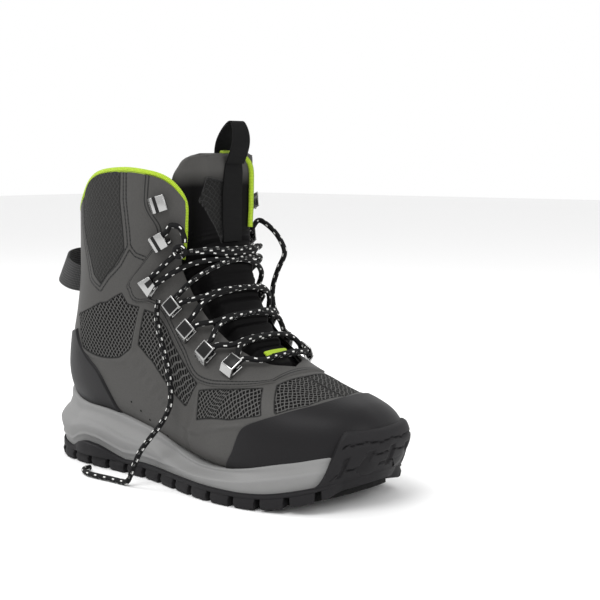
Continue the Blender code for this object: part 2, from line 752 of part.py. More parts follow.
def build_insole(finish):
    """Footbed that lies on the turned-in edge of the upper and fills its opening underneath."""
    rows = np.array([0.9, 1.4, 1.8, 2.6, 3.6, 4.8, 6, 7.2, 8.4, 9.6, 10.8, 11.6, 12, 12.3])
    share = np.array([0.73, 0.80, 0.873, 0.892, 1.0])
    share = np.concatenate([share, 2 - share[-2::-1]])
    turns = np.where(share > 1, share - 2, share) * math.pi
    lying = -(UPPER_WALL + 3 * FIT)
    in_rows = (rows > 1.5) & (rows < 11.7)
    filling = in_rows[:, None] & (np.abs(share - 1) < 0.12)[None, :]
    lower = np.where(filling, -2 * FIT, lying)
    upper = np.full_like(lower, lying - INSOLE_THICKNESS)
    row_grid = np.broadcast_to(rows[:, None], lower.shape)
    turn_grid = np.broadcast_to(turns[None, :], lower.shape)
    under = last_point(row_grid, turn_grid, lower)
    over = last_point(row_grid, turn_grid, upper)
    return make_object("insole", *slab(over, under), finish)


TONGUE_STEPS = np.concatenate([[5.4, 5.8, 6.2, 6.55, 6.85, 7.15], np.arange(8, 19.3, 1.0),
                               [19.7, 20.1, 20.35, 20.55]])
TONGUE_SPREAD = np.linspace(-1, 1, 11)


def tongue_out(row, y):
    """Height of the tongue's outer face over the last, let in under the upper at its edges."""
    bulge = TONGUE_BULGE * hermite(TONGUE_ROWS, row, 2)
    throat = SHAFT_WIDTH * hermite(THROAT_ROWS, row, 1)
    under = -(UPPER_WALL + 5 * FIT)
    free = np.clip((throat - 0.003 - np.abs(y)) / 0.010, 0, 1)
    free = free * free * (3 - 2 * free)
    return np.minimum(under + (bulge - under) * free, bulge)


def tongue_sheet(rows, spread, out, inward=0.0):
    """Grid of points over the tongue at a distance out from its outer face."""
    half = SHAFT_WIDTH * hermite(TONGUE_ROWS, rows, 1)
    y = spread[None, :] * half[:, None]
    row_grid = np.broadcast_to(rows[:, None], y.shape)
    turns = turn_at(row_grid.ravel(), y.ravel()).reshape(y.shape)
    thick = inward * (1 - 0.55 * np.abs(spread[None, :]) ** 3)
    return last_point(row_grid, turns, tongue_out(row_grid, y) + out - thick)


def build_tongue(finish):
    outer = tongue_sheet(TONGUE_STEPS, TONGUE_SPREAD, 0.0)
    inner = tongue_sheet(TONGUE_STEPS, TONGUE_SPREAD, 0.0, TONGUE_THICKNESS)
    return make_object("tongue", *slab(inner, outer), finish)


def build_tongue_web(finish):
    """Webbing that lies along the middle of the tongue."""
    rows = TONGUE_STEPS[(TONGUE_STEPS > 13.5) & (TONGUE_STEPS < 20.2)]
    spread = TONGUE_SPREAD[4:7]
    low = tongue_sheet(rows, spread, FIT)
    high = tongue_sheet(rows, spread, FIT + WEB_THICKNESS)
    return make_object("tongue_web", *slab(low, high), finish)


def build_keeper(finish):
    """Bright tab that holds the lace low on the tongue."""
    rows = TONGUE_STEPS[(TONGUE_STEPS > 6.8) & (TONGUE_STEPS < 7.2)]
    spread = TONGUE_SPREAD[3:8]
    low = tongue_sheet(rows, spread, FIT)
    high = tongue_sheet(rows, spread, FIT + WEB_THICKNESS)
    return make_object("lace_keeper", *slab(low, high), finish)


def build_pull_loop(finish):
    """Webbing folded into a loop that stands above the tongue."""
    rows = np.array([20.1])
    front = tongue_sheet(rows, np.array([0.0]), 2 * FIT + WEB_THICKNESS)[0, 0]
    back = tongue_sheet(rows, np.array([0.0]), -2 * FIT - WEB_THICKNESS, TONGUE_THICKNESS)[0, 0]
    top = front[2] + LOOP_HEIGHT
    rise = np.array([0.0, 0.25, 0.50, 0.75, 0.92, 1.0])
    belly = (front[0] - back[0]) / 2 + 0.003 * np.sin(np.pi * rise)
    reach = belly * np.sqrt(np.clip(1 - rise**4, 0, 1))
    middle = (front[0] + back[0]) / 2
    z = front[2] + rise * (top - front[2])
    path = [(middle + r, h) for r, h in zip(reach, z)]
    path += [(middle - r, h) for r, h in zip(reach[-2::-1], z[-2::-1])]
    path = np.array(path)
    path[:, 0] += LOOP_LEAN * (path[:, 1] - front[2]) / LOOP_HEIGHT
    run = np.gradient(path, axis=0)
    run /= np.linalg.norm(run, axis=1, keepdims=True)
    side = np.stack([run[:, 1], -run[:, 0]], -1) * WEB_THICKNESS / 2
    narrow = 1 - 0.25 * ((path[:, 1] - front[2]) / LOOP_HEIGHT) ** 3

    def sheet(sign):
        spots = path + sign * side
        wide = LOOP_WIDTH / 2 * narrow
        return np.array([[(x, -w, h), (x, w, h)] for (x, h), w in zip(spots, wide)])

    return make_object("pull_loop", *slab(sheet(-1), sheet(1)), finish)


def strap_line():
    """Lower edge of the heel strap, from the lateral side round the back."""
    half = np.array(STRAP_ROWS) * (LENGTH, SHAFT_WIDTH, COLLAR_HEIGHT)
    rows = np.vstack([half, half[-2::-1] * (1, -1, 1)])
    return catmull(rows, np.linspace(0, len(rows) - 1, 21))


def build_heel_strap(finish):
    """Stiff webbing handle across the back of the shaft."""
    line = strap_line()
    run = np.gradient(line[:, :2], axis=0)
    run /= np.linalg.norm(run, axis=1, keepdims=True)
    out = np.stack([-run[:, 1], run[:, 0]], -1)
    away = line[:, :2] - (0.10 * LENGTH, 0)
    out = out * np.sign(np.sum(out * away, axis=1, keepdims=True))

    def sheet(offset):
        low = np.column_stack([line[:, :2] + out * offset, line[:, 2]])
        lean = np.column_stack([-0.35 * out * STRAP_HEIGHT, np.full(len(line), 0.94 * STRAP_HEIGHT)])
        return np.stack([low, low + lean], 1)

    strap = make_object("heel_strap", *slab(sheet(0.0), sheet(STRAP_THICKNESS)), finish)
    return cut(strap, shared_cutter("over_upper", FIT))


def shared_cutter(name, out):
    """The whole last at one offset, made once and used for every piece that rests on it."""
    known = bpy.data.objects.get("cutter_" + name)
    return known or make_cutter("cutter_" + name, *last_solid(ROW_STEPS, TURN_COUNT, out))


def overlay(name, region, thickness, finish):
    """Overlay between two offsets of the last, inside a region and above the midsole."""
    made = make_object(name, *region, finish)
    cut(made, make_cutter("cutter_" + name, *last_solid(ROW_STEPS, TURN_COUNT, thickness + FIT)),
        "INTERSECT")
    cut(made, shared_cutter("over_upper", FIT))
    rim = bpy.data.objects.get("cutter_rim") or make_cutter(
        "cutter_rim", *midsole_blank(FIT, RIM_WALL))
    return cut(made, rim)


def build_toe_cap(finish):
    """Moulded cap over the toes, with a rear edge that runs back along the sides."""
    turns = np.linspace(-math.pi, math.pi, TURN_COUNT, endpoint=False) + 0.01
    edge = hermite(CAP_ROWS, np.abs(turns) / math.pi, 1)
    reach = np.array([0.0, 0.2, 0.4, 0.6, 0.8, 1.0])[:, None]
    rows = 0.45 + (edge[None, :] - 0.45) * reach
    rings = last_point(rows, np.broadcast_to(turns, rows.shape), REGION)
    inner = last_point(edge, turns, -REGION)
    verts = [last_point(0.0, 0.0, REGION)] + list(rings.reshape(-1, 3)) + list(inner)
    count = TURN_COUNT
    faces = [tuple(v + 1 for v in face) for face in grid_faces(len(reach) + 1, count, True)]
    faces += [(0, 1 + (j + 1) % count, 1 + j) for j in range(count)]
    faces.append(tuple(1 + len(reach) * count + j for j in range(count)))
    return overlay("toe_cap", (verts, faces), CAP_THICKNESS, finish)


def build_counter(finish):
    """Moulded cup round the heel."""
    spread = np.linspace(-1, 1, 13)
    top = 14.9 + 0.7 * (1 - np.abs(spread) ** 2)
    rows = 9.8 + (top - 9.8)[None, :] * np.linspace(0, 1, 9)[:, None]
    front = hermite(COUNTER_ROWS, rows, 1)
    turns = math.pi * (1 + spread[None, :] * (1 - front))
    region = slab(last_point(rows, turns, -REGION), last_point(rows, turns, REGION))
    return overlay("heel_counter", region, COUNTER_THICKNESS, finish)


def build_lace_plate(finish):
    """Lace plate round the throat, one piece over the vamp and up both sides of the shaft."""
    rows = np.array([5.56, 6.0, 6.4, 7.1, 7.65, 8.14, 9.6, 10.8, 11.8, 12.6, 13.4, 14.1, 14.6, 14.9,
                     15.2, 17, 18.7, 20.9])
    edge = math.pi * hermite(PLATE_ROWS, rows, 1)
    turns = np.linspace(-1, 1, 9)[None, :] * edge[:, None]
    row_grid = np.broadcast_to(rows[:, None], turns.shape)
    region = slab(last_point(row_grid, turns, -REGION), last_point(row_grid, turns, REGION))
    plate = overlay("lace_plate", region, STAY_THICKNESS, finish)
    cut(plate, bpy.data.objects["cutter_throat"])
    return cut(plate, bpy.data.objects["cutter_collar"])


def seat(row, turn):
    """Point on the last with its axes: towards the throat, up the boot and outwards."""
    spot = last_skin(row, turn)
    out = last_normal(row, turn)
    inward = last_skin(row, turn - math.copysign(0.02, turn)) - spot
    inward -= out * np.dot(inward, out)
    inward /= np.linalg.norm(inward)
    along = np.cross(out, inward)
    if np.dot(along, last_skin(row + 0.1, turn) - spot) < 0:
        along = -along
    return spot, inward, along, out


def build_hook(name, row, turn, outer_width, inner_width, finish):
    """Bent metal hook that is open towards the throat, its base shaped to the lace plate."""
    spot, inward, along, out = seat(row, turn)
    base = STAY_THICKNESS + FIT
    floor = base + FIT + PLATE_METAL
    roof = floor + HOOK_ROOM
    back = -HOOK_REACH / 2
    front = HOOK_REACH / 2
    profile = [(back, base - 0.003), (front - 0.002, base - 0.003), (front - 0.002, floor),
               (back + 0.0030, floor), (back + 0.0046, roof - 0.0004), (front, roof + 0.0003),
               (front, roof + PLATE_METAL + 0.0003), (back + 0.0038, roof + PLATE_METAL),
               (back, floor + 0.0006)]
    verts = []
    for sign in (-1, 1):
        for u, n in profile:
            share = (u - back) / HOOK_REACH
            half = HOOK_WIDTH / 2 * (outer_width + (inner_width - outer_width) * share)
            verts.append(spot + inward * u + along * sign * half + out * n)
    count = len(profile)
    faces = [tuple(range(count)), tuple(range(2 * count - 1, count - 1, -1))]
    faces += [(i, (i + 1) % count, (i + 1) % count + count, i + count) for i in range(count)]
    hook = make_object(name, verts, faces, finish)
    return cut(hook, shared_cutter("over_plate", STAY_THICKNESS + 2 * FIT))


def build_hooks(finish):
    for side, sign in (("lateral", -1), ("medial", 1)):
        for i, (row, turn, outer, inner) in enumerate(BRACKET_ROWS):
            if i < 4:
                name = f"bracket_{side}_{i + 1}"
            elif i == 4:
                name = f"ankle_lock_{side}"
            else:
                name = f"hook_{side}_{i - 4}"
            build_hook(name, row, sign * turn * math.pi, outer, inner, finish)


def lace_in_hook(i, sign, upward=True):
    """Points of the lace where it turns inside hook i of one side."""
    row, turn = BRACKET_ROWS[i][:2]
    spot, inward, along, out = seat(row, sign * turn * math.pi)
    height = STAY_THICKNESS + 2 * FIT + PLATE_METAL + HOOK_ROOM / 2
    back = -HOOK_REACH / 2 + 0.0046 + LACE_WIDTH / 2 + 0.0004
    way = 1 if upward else -1
    turnings = ((0.0095, -1.0), (0.0020, -1.0), (back, -0.45), (back, 0.45), (0.0020, 1.0),
                (0.0095, 1.0))
    return [spot + inward * u + along * way * v * LACE_TURN + out * height for u, v in turnings]


def lace_over_tongue(row_from, row_to, turn_from, turn_to, steps, extra=0.0):
    """Points of the lace between two places, clear of the tongue, the plate and the upper."""
    share = np.linspace(0, 1, steps)
    rows = row_from + (row_to - row_from) * share
    turns = math.pi * (turn_from + (turn_to - turn_from) * share)
    y = last_skin(rows, turns)[:, 1]
    over = np.maximum(tongue_out(rows, y), STAY_THICKNESS + 2 * FIT)
    over = np.maximum(over, np.maximum(np.append(over[1:], 0), np.append(0, over[:-1])))
    return list(last_point(rows, turns, over + LACE_WIDTH / 2 + LACE_LIFT + extra))


def lace_strand(sign, extra):
    """Half of the lace, from the bar over the vamp up to the bar at the ankle."""
    route = lace_over_tongue(6.56, 6.62, 0.05 * -sign, 0.10 * sign, 3, extra)
    side = sign
    for i in range(5):
        route += lace_in_hook(i, side)
        if i < 4:
            row, turn = BRACKET_ROWS[i][:2]
            next_row, next_turn = BRACKET_ROWS[i + 1][:2]
            route += lace_over_tongue(row + 0.55, next_row - 0.55, side * 0.55 * turn,
                                      -side * 0.55 * next_turn, 4, extra)
            side = -side
    ankle = extra + 0.0012
    low = 12.70 + 300 * extra
    route += lace_over_tongue(13.95, low, side * 0.235, side * 0.04, 5, ankle)
    route += lace_over_tongue(low, 13.75, -side * 0.04, -side * 0.20, 5, ankle)
    return np.array(route)


def tube(route, radius, sides=5):
    """Verts and faces of a closed tube along a route."""
    run = np.gradient(route, axis=0)
    run /= np.linalg.norm(run, axis=1, keepdims=True)
    across = np.cross(run[0], (0.3, 0.2, 1.0))
    verts = []
    for spot, way in zip(route, run):
        across = across - way * np.dot(across, way)
        across /= np.linalg.norm(across)
        other = np.cross(way, across)
        for k in range(sides):
            angle = 2 * math.pi * (k + 0.3) / sides
            verts.append(spot + radius * (math.cos(angle) * across + math.sin(angle) * other))
    faces = grid_faces(len(route), sides, True)
    faces += [tuple(range(sides)), tuple((len(route) - 1) * sides + k for k in range(sides))]
    return verts, faces


def route_points(table):
    return list(np.array(table) * (LENGTH, SOLE_WIDTH, COLLAR_HEIGHT))


def build_cord(name, points, finish):
    """Round lace through a list of points, as a curve with a bevel."""
    points = np.array(points)
    fine = catmull(points, np.linspace(0, len(points) - 1, 600))
    run = np.concatenate([[0], np.cumsum(np.linalg.norm(np.diff(fine, axis=0), axis=1))])
    count = max(4, round(run[-1] / (2.2 * LACE_WIDTH)) + 1)
    at = np.linspace(0, run[-1], count)
    curve = bpy.data.curves.new(name, "CURVE")
    curve.dimensions = "3D"
    curve.bevel_depth = LACE_WIDTH / 2
    curve.bevel_resolution = 2
    curve.use_fill_caps = True
    line = curve.splines.new("POLY")
    line.points.add(count - 1)
    for spot, place in zip(line.points, at):
        spot.co = (*(np.interp(place, run, fine[:, k]) for k in range(3)), 1)
    curve.materials.append(finish)
    cord = bpy.data.objects.new(name, curve)
    bpy.context.collection.objects.link(cord)
    CORD_NODES.append(name)
    return cord


def knot_points():
    """Short coil of lace on the bar at the lateral side of the ankle."""
    middle = np.array(KNOT_PLACE) * (LENGTH, SOLE_WIDTH, COLLAR_HEIGHT)
    axis = np.array([0.55, -0.83, 0.05])
    axis /= np.linalg.norm(axis)
    first = np.cross(axis, (0, 0, 1))
    first /= np.linalg.norm(first)
    second = np.cross(axis, first)
    angles = np.linspace(0, 2 * math.pi * KNOT_TURNS, 14)
    rise = 1.12 * LACE_WIDTH * angles / (2 * math.pi)
    return [middle + axis * h + KNOT_RADIUS * (math.cos(a) * first + math.sin(a) * second)
            for a, h in zip(angles, rise)]


def build_free_lace(finish):
    build_cord("lace_knot", knot_points(), finish)
    build_cord("lace_end", route_points(LACE_END_ROWS), finish)
    lateral = lace_in_hook(5, -1) + route_points(LOOP_LATERAL_ROWS)
    build_cord("lace_loop_lateral", lateral, finish)
    medial = lace_in_hook(5, 1)[1:] + route_points(LOOP_MEDIAL_ROWS)
    build_cord("lace_loop_medial", medial, finish)


def build_crossings(finish):
    """The lace rows over the tongue, both halves of the lace joined where they cross."""
    left = make_object("lace_crossings", *tube(lace_strand(-1, 0.0), LACE_WIDTH / 2), finish)
    right = make_cutter("cutter_strand", *tube(lace_strand(1, 0.0009), LACE_WIDTH / 2))
    return cut(left, right, "UNION")


def stand_on_origin():
    """Put the middle of the boot's footprint, without the free lace, on the origin."""
    bpy.context.view_layer.update()
    seen = bpy.context.evaluated_depsgraph_get()
    corners = []
    for part in bpy.data.objects:
        if part.type == "EMPTY" or part.hide_render or part.name in CORD_NODES:
            continue
        shaped = part.evaluated_get(seen)
        mesh = shaped.to_mesh()
        corners += [part.matrix_world @ v.co for v in mesh.vertices]
        shaped.to_mesh_clear()
    spots = np.array(corners)
    low = spots.min(0)
    high = spots.max(0)
    shift = Vector(((low[0] + high[0]) / 2, (low[1] + high[1]) / 2, low[2]))
    frame = bpy.data.objects.new("boot", None)
    bpy.context.collection.objects.link(frame)
    for part in list(bpy.data.objects):
        if part is not frame and part.parent is None:
            part.parent = frame
    frame.location = -shift
    bpy.context.view_layer.update()


def main():
    for old in list(bpy.data.objects):
        bpy.data.objects.remove(old, do_unlink=True)
    smooth = material("coated_textile", (0.055, 0.055, 0.053), 0.55)
    cap = material("moulded_cap", (0.030, 0.030, 0.033), 0.50)
    rubber = material("rubber", (0.030, 0.030, 0.031), 0.62)
    foam = material("midsole_foam", (0.300, 0.300, 0.295), 0.60)
    felt = material("felt", (0.020, 0.020, 0.020), 0.95)
    lining = material("lining", (0.060, 0.060, 0.060), 0.90)
    webbing = material("webbing", (0.012, 0.012, 0.013), 0.80)
    bright = material("bright_tab", (0.520, 0.680, 0.080), 0.60)
    steel = material("steel", (0.620, 0.620, 0.600), 0.30, 1.0)
    lace = material("lace", (0.010, 0.010, 0.011), 0.75)
    build_upper(smooth)
    build_midsole(foam)
    build_outsole(rubber)
    build_felt(felt)
    build_insole(lining)
    build_tongue(smooth)
    build_toe_cap(cap)
    build_counter(cap)
    build_lace_plate(smooth)
    build_hooks(steel)
    build_tongue_web(webbing)
    build_pull_loop(webbing)
    build_keeper(bright)
    build_heel_strap(webbing)
    build_crossings(lace)
    for part in list(bpy.data.objects):
        if part.modifiers:
            merge_flats(part)
    build_free_lace(lace)
    stand_on_origin()


main()
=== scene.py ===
import json
import math

import bmesh
import bpy
import numpy as np
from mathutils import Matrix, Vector
from mathutils.kdtree import KDTree


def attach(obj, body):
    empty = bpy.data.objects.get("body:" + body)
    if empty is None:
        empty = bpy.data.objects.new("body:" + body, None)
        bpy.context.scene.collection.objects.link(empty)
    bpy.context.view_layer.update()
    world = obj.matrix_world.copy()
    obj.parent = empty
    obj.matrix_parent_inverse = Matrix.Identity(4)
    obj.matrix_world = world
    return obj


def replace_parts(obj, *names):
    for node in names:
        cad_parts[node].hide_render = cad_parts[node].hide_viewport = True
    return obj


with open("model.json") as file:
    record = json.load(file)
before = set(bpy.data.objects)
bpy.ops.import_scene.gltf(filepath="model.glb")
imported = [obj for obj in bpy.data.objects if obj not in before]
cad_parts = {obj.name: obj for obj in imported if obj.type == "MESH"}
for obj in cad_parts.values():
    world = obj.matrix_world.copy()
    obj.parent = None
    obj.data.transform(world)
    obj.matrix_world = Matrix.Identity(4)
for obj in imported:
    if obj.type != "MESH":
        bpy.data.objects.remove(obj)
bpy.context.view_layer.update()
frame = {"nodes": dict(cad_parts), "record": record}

# Overall sizes
LENGTH = 0.300
BALL_WIDTH = 0.109
SHAFT_WIDTH = 0.102
INSTEP_HEIGHT = 0.157
COLLAR_HEIGHT = 0.218
HEEL_SEAT = 0.031

# Walls and fits
FIT = 0.0003
UPPER_WALL = 0.0024
CAP_THICKNESS = 0.0016
COUNTER_THICKNESS = 0.0018
STAY_THICKNESS = 0.0014
RIM_WALL = 0.0042
TONGUE_THICKNESS = 0.0070
TONGUE_BULGE = 0.0040

# Webbing, laces and metal
WEB_THICKNESS = 0.0012
LOOP_WIDTH = 0.019
LOOP_HEIGHT = 0.030
LOOP_LEAN = 0.007
STRAP_THICKNESS = 0.0018
STRAP_HEIGHT = 0.020
LACE_WIDTH = 0.0040
LACE_LIFT = 0.0014
PLATE_METAL = 0.0011
HOOK_ROOM = 0.0048
HOOK_REACH = 0.0145
HOOK_WIDTH = 0.0110
LACE_TURN = 0.0032

# Sole
SOLE_FLARE = 0.0105
SOLE_WIDTH = BALL_WIDTH + 2 * SOLE_FLARE
TREAD_DEPTH = 0.0085
TOE_SPRING = 0.016
LUG_HEIGHT = 0.0075
LUG_PITCH = 0.0208
LUG_GAP = 0.0046
LUG_REACH = 0.0135
RAND_LIP = 0.0022
TOE_ROUND = 0.0060
BUMPER_WALL = 0.0034

# Toe bumper: half reach and slant of its ends in shares of the outline, top in INSTEP_HEIGHT
BUMPER_REACH = 0.085
BUMPER_SLANT = 0.040
BUMPER_TOP = 0.352

# Last, from the toe to the heel seat: x in LENGTH, top z in INSTEP_HEIGHT, low z in HEEL_SEAT,
# half widths in BALL_WIDTH
# columns: top x, top z, low x, low z, lateral, medial, widest, crown, base
FOOT_ROWS = (
    (0.988, 0.285, 0.988, 1.443, 0.000, 0.000, 0.50, 2.00, 2.0),
    (0.974, 0.364, 0.977, 0.860, 0.165, 0.229, 0.45, 2.20, 2.6),
    (0.941, 0.420, 0.940, 0.740, 0.294, 0.349, 0.42, 2.30, 3.2),
    (0.889, 0.453, 0.887, 0.600, 0.404, 0.431, 0.40, 2.40, 3.6),
    (0.833, 0.481, 0.813, 0.535, 0.486, 0.468, 0.38, 2.40, 3.8),
    (0.780, 0.516, 0.730, 0.500, 0.523, 0.477, 0.36, 2.40, 3.8),
    (0.723, 0.554, 0.640, 0.500, 0.514, 0.450, 0.34, 2.60, 3.6),
    (0.667, 0.605, 0.553, 0.550, 0.477, 0.422, 0.33, 2.90, 3.4),
    (0.620, 0.669, 0.460, 0.680, 0.440, 0.404, 0.33, 3.10, 3.2),
    (0.580, 0.745, 0.367, 0.810, 0.422, 0.394, 0.35, 3.20, 3.0),
    (0.550, 0.828, 0.273, 0.910, 0.422, 0.399, 0.40, 3.20, 2.7),
    (0.528, 0.917, 0.180, 0.970, 0.422, 0.404, 0.44, 3.20, 2.5),
    (0.517, 1.000, 0.087, 1.000, 0.422, 0.408, 0.46, 3.20, 2.3),
)
# Last, round the heel and up the shaft: the same columns, with top z in shares of the way from
# INSTEP_HEIGHT to COLLAR_HEIGHT, low z in COLLAR_HEIGHT, half widths in SHAFT_WIDTH
SHAFT_ROWS = (
    (0.510, 0.182, 0.020, 0.183, 0.451, 0.441, 0.48, 3.20, 2.15),
    (0.507, 0.328, -0.013, 0.266, 0.461, 0.451, 0.50, 3.20, 2.1),
    (0.505, 0.460, -0.003, 0.385, 0.471, 0.461, 0.50, 3.10, 2.1),
    (0.503, 0.575, 0.025, 0.505, 0.485, 0.475, 0.50, 3.00, 2.15),
    (0.502, 0.703, 0.045, 0.619, 0.495, 0.485, 0.50, 3.00, 2.2),
    (0.500, 0.836, 0.055, 0.734, 0.500, 0.490, 0.50, 3.00, 2.3),
    (0.500, 0.982, 0.058, 0.853, 0.505, 0.495, 0.50, 3.00, 2.3),
    (0.500, 1.179, 0.060, 0.972, 0.505, 0.495, 0.50, 3.00, 2.3),
    (0.500, 1.457, 0.060, 1.128, 0.505, 0.495, 0.50, 3.00, 2.3),
)
TOP_ROW = 21.0

# Sole outline from heel to toe: x in LENGTH, lateral and medial y in SOLE_WIDTH
SOLE_ROWS = (
    (-0.027, 0.000, 0.000),
    (-0.007, -0.185, 0.185),
    (0.047, -0.292, 0.292),
    (0.150, -0.346, 0.331),
    (0.283, -0.362, 0.319),
    (0.400, -0.381, 0.315),
    (0.517, -0.446, 0.346),
    (0.623, -0.500, 0.400),
    (0.723, -0.508, 0.442),
    (0.823, -0.465, 0.435),
    (0.913, -0.362, 0.362),
    (0.970, -0.215, 0.254),
    (0.997, 0.023, 0.023),
)
# Ground line and the joint of midsole and tread: x in LENGTH, ground z in TOE_SPRING,
# joint above the ground in TREAD_DEPTH
TREAD_ROWS = (
    (-0.040, 0.16, 1.30),
    (0.040, 0.00, 1.40),
    (0.200, 0.00, 1.25),
    (0.400, 0.00, 1.05),
    (0.600, 0.00, 1.00),
    (0.740, 0.00, 1.00),
    (0.820, 0.12, 1.00),
    (0.900, 0.45, 0.96),
    (0.960, 0.80, 0.86),
    (1.010, 1.10, 0.78),
)
# Midsole side from heel to toe: x in LENGTH, rim heights in HEEL_SEAT, side offsets from the
# outline in RIM_WALL
# columns: x, lateral rim z, medial rim z, foot offset, belly offset, rim wall
MIDSOLE_ROWS = (
    (-0.040, 1.78, 1.78, -0.10, 0.75, 1.00),
    (0.060, 1.53, 1.53, -0.15, 0.60, 1.00),
    (0.230, 1.42, 1.42, -0.30, 0.25, 1.00),
    (0.330, 1.28, 1.34, -0.30, 0.10, 1.00),
    (0.410, 1.11, 1.24, -0.30, 0.05, 1.00),
    (0.470, 0.86, 1.06, -0.30, 0.00, 1.00),
    (0.530, 0.71, 0.90, -0.30, -0.10, 1.00),
    (0.630, 0.68, 0.80, -0.30, -0.25, 1.00),
    (0.740, 0.83, 0.88, -0.30, -0.30, 0.95),
    (0.820, 1.00, 1.02, -0.40, -0.40, 0.85),
    (0.880, 1.12, 1.12, -0.60, -0.60, 0.65),
    (0.940, 1.24, 1.24, -0.75, -0.60, 0.48),
    (1.010, 1.30, 1.30, -0.70, -0.45, 0.48),
)
# Collar line seen from the side: x in LENGTH, z in COLLAR_HEIGHT
COLLAR_ROWS = (
    (0.020, 0.850),
    (0.060, 0.862),
    (0.095, 0.880),
    (0.125, 0.908),
    (0.157, 0.945),
    (0.190, 0.990),
    (0.225, 1.014),
    (0.270, 1.026),
    (0.390, 1.022),
    (0.425, 1.012),
    (0.447, 0.997),
    (0.464, 0.970),
    (0.478, 0.925),
    (0.488, 0.860),
    (0.494, 0.790),
)
# Throat: last row, lateral and medial half opening in SHAFT_WIDTH
THROAT_ROWS = (
    (6.05, 0.03, 0.03),
    (6.30, 0.13, 0.13),
    (6.80, 0.20, 0.20),
    (7.60, 0.25, 0.25),
    (9.00, 0.29, 0.29),
    (11.0, 0.325, 0.325),
    (13.0, 0.345, 0.345),
    (15.0, 0.330, 0.330),
    (17.0, 0.328, 0.328),
    (19.0, 0.333, 0.333),
    (21.0, 0.333, 0.333),
)
# Tongue: last row, half width in SHAFT_WIDTH, bulge in TONGUE_BULGE
TONGUE_ROWS = (
    (5.40, 0.12, -1.25),
    (6.00, 0.20, -1.00),
    (6.70, 0.27, -0.10),
    (7.60, 0.30, 0.45),
    (9.00, 0.34, 0.85),
    (11.0, 0.37, 1.00),
    (13.0, 0.39, 1.10),
    (15.0, 0.41, 1.30),
    (17.0, 0.42, 1.60),
    (19.0, 0.41, 1.90),
    (20.0, 0.37, 2.10),
    (20.35, 0.32, 2.10),
    (20.55, 0.24, 2.10),
)
# Rear edge of the toe cap: half turns from the top line, last row
CAP_ROWS = (
    (0.00, 3.15),
    (0.12, 3.30),
    (0.19, 3.55),
    (0.25, 3.95),
    (0.31, 4.42),
    (0.36, 4.90),
    (0.41, 5.36),
    (0.50, 5.58),
    (0.74, 5.90),
    (1.00, 6.00),
)
# Front edge of the heel counter: last row, half turns from the top line
COUNTER_ROWS = (
    (9.60, 0.80),
    (10.2, 0.75),
    (10.7, 0.70),
    (11.2, 0.645),
    (11.8, 0.605),
    (12.5, 0.594),
    (13.2, 0.611),
    (13.9, 0.636),
    (14.9, 0.683),
    (15.7, 0.72),
)
# Outer edge of the lace plate: last row, half turns from the top line
PLATE_ROWS = (
    (5.56, 0.140),
    (6.00, 0.215),
    (6.40, 0.262),
    (7.10, 0.330),
    (7.65, 0.372),
    (8.14, 0.394),
    (9.60, 0.375),
    (10.8, 0.367),
    (11.8, 0.370),
    (12.6, 0.394),
    (13.4, 0.442),
    (14.1, 0.455),
    (14.6, 0.452),
    (14.9, 0.410),
    (15.2, 0.378),
    (18.7, 0.388),
    (21.0, 0.370),
)
# Lacing from the toe up: last row, half turns from the top line, outer and throat side width
# in HOOK_WIDTH
BRACKET_ROWS = (
    (7.20, 0.225, 1.00, 1.00),
    (8.49, 0.281, 1.00, 1.00),
    (9.88, 0.300, 1.00, 1.00),
    (11.22, 0.311, 1.00, 1.00),
    (13.30, 0.370, 1.35, 0.75),
    (15.59, 0.314, 1.05, 1.05),
    (18.12, 0.308, 1.05, 1.05),
)
# Heel strap seen from above, lateral half: x in LENGTH, y in SHAFT_WIDTH, lower edge in
# COLLAR_HEIGHT
STRAP_ROWS = (
    (0.090, -0.255, 0.598),
    (0.040, -0.290, 0.607),
    (-0.012, -0.255, 0.625),
    (-0.040, -0.180, 0.645),
    (-0.050, -0.090, 0.655),
    (-0.053, 0.000, 0.658),
)

# Routes of the free lace: x in LENGTH, y in SOLE_WIDTH, z in COLLAR_HEIGHT
LACE_END_ROWS = (
    (0.4350, -0.376, 0.612),
    (0.4310, -0.382, 0.560),
    (0.4440, -0.391, 0.500),
    (0.4600, -0.395, 0.445),
    (0.4750, -0.399, 0.390),
    (0.4850, -0.405, 0.330),
    (0.4900, -0.420, 0.275),
    (0.4780, -0.452, 0.220),
    (0.4550, -0.486, 0.170),
    (0.4300, -0.520, 0.115),
    (0.4160, -0.548, 0.055),
    (0.4040, -0.560, 0.0175),
    (0.3800, -0.555, 0.0108),
    (0.3400, -0.552, 0.0105),
    (0.2910, -0.555, 0.0105),
    (0.2500, -0.544, 0.0105),
    (0.2160, -0.498, 0.0105),
    (0.2120, -0.447, 0.0105),
)
LOOP_LATERAL_ROWS = (
    (0.4700, -0.356, 0.857),
    (0.4870, -0.326, 0.850),
    (0.4950, -0.312, 0.820),
    (0.4960, -0.312, 0.800),
)
LOOP_MEDIAL_ROWS = (
    (0.4640, 0.385, 0.858),
    (0.5000, 0.400, 0.830),
    (0.5310, 0.400, 0.788),
    (0.5430, 0.400, 0.745),
    (0.5230, 0.400, 0.693),
    (0.5050, 0.400, 0.633),
    (0.5030, 0.400, 0.577),
    (0.5130, 0.398, 0.538),
    (0.5200, 0.392, 0.515),
)
KNOT_PLACE = (0.4925, -0.334, 0.773)
KNOT_RADIUS = 0.0034
KNOT_TURNS = 1.35

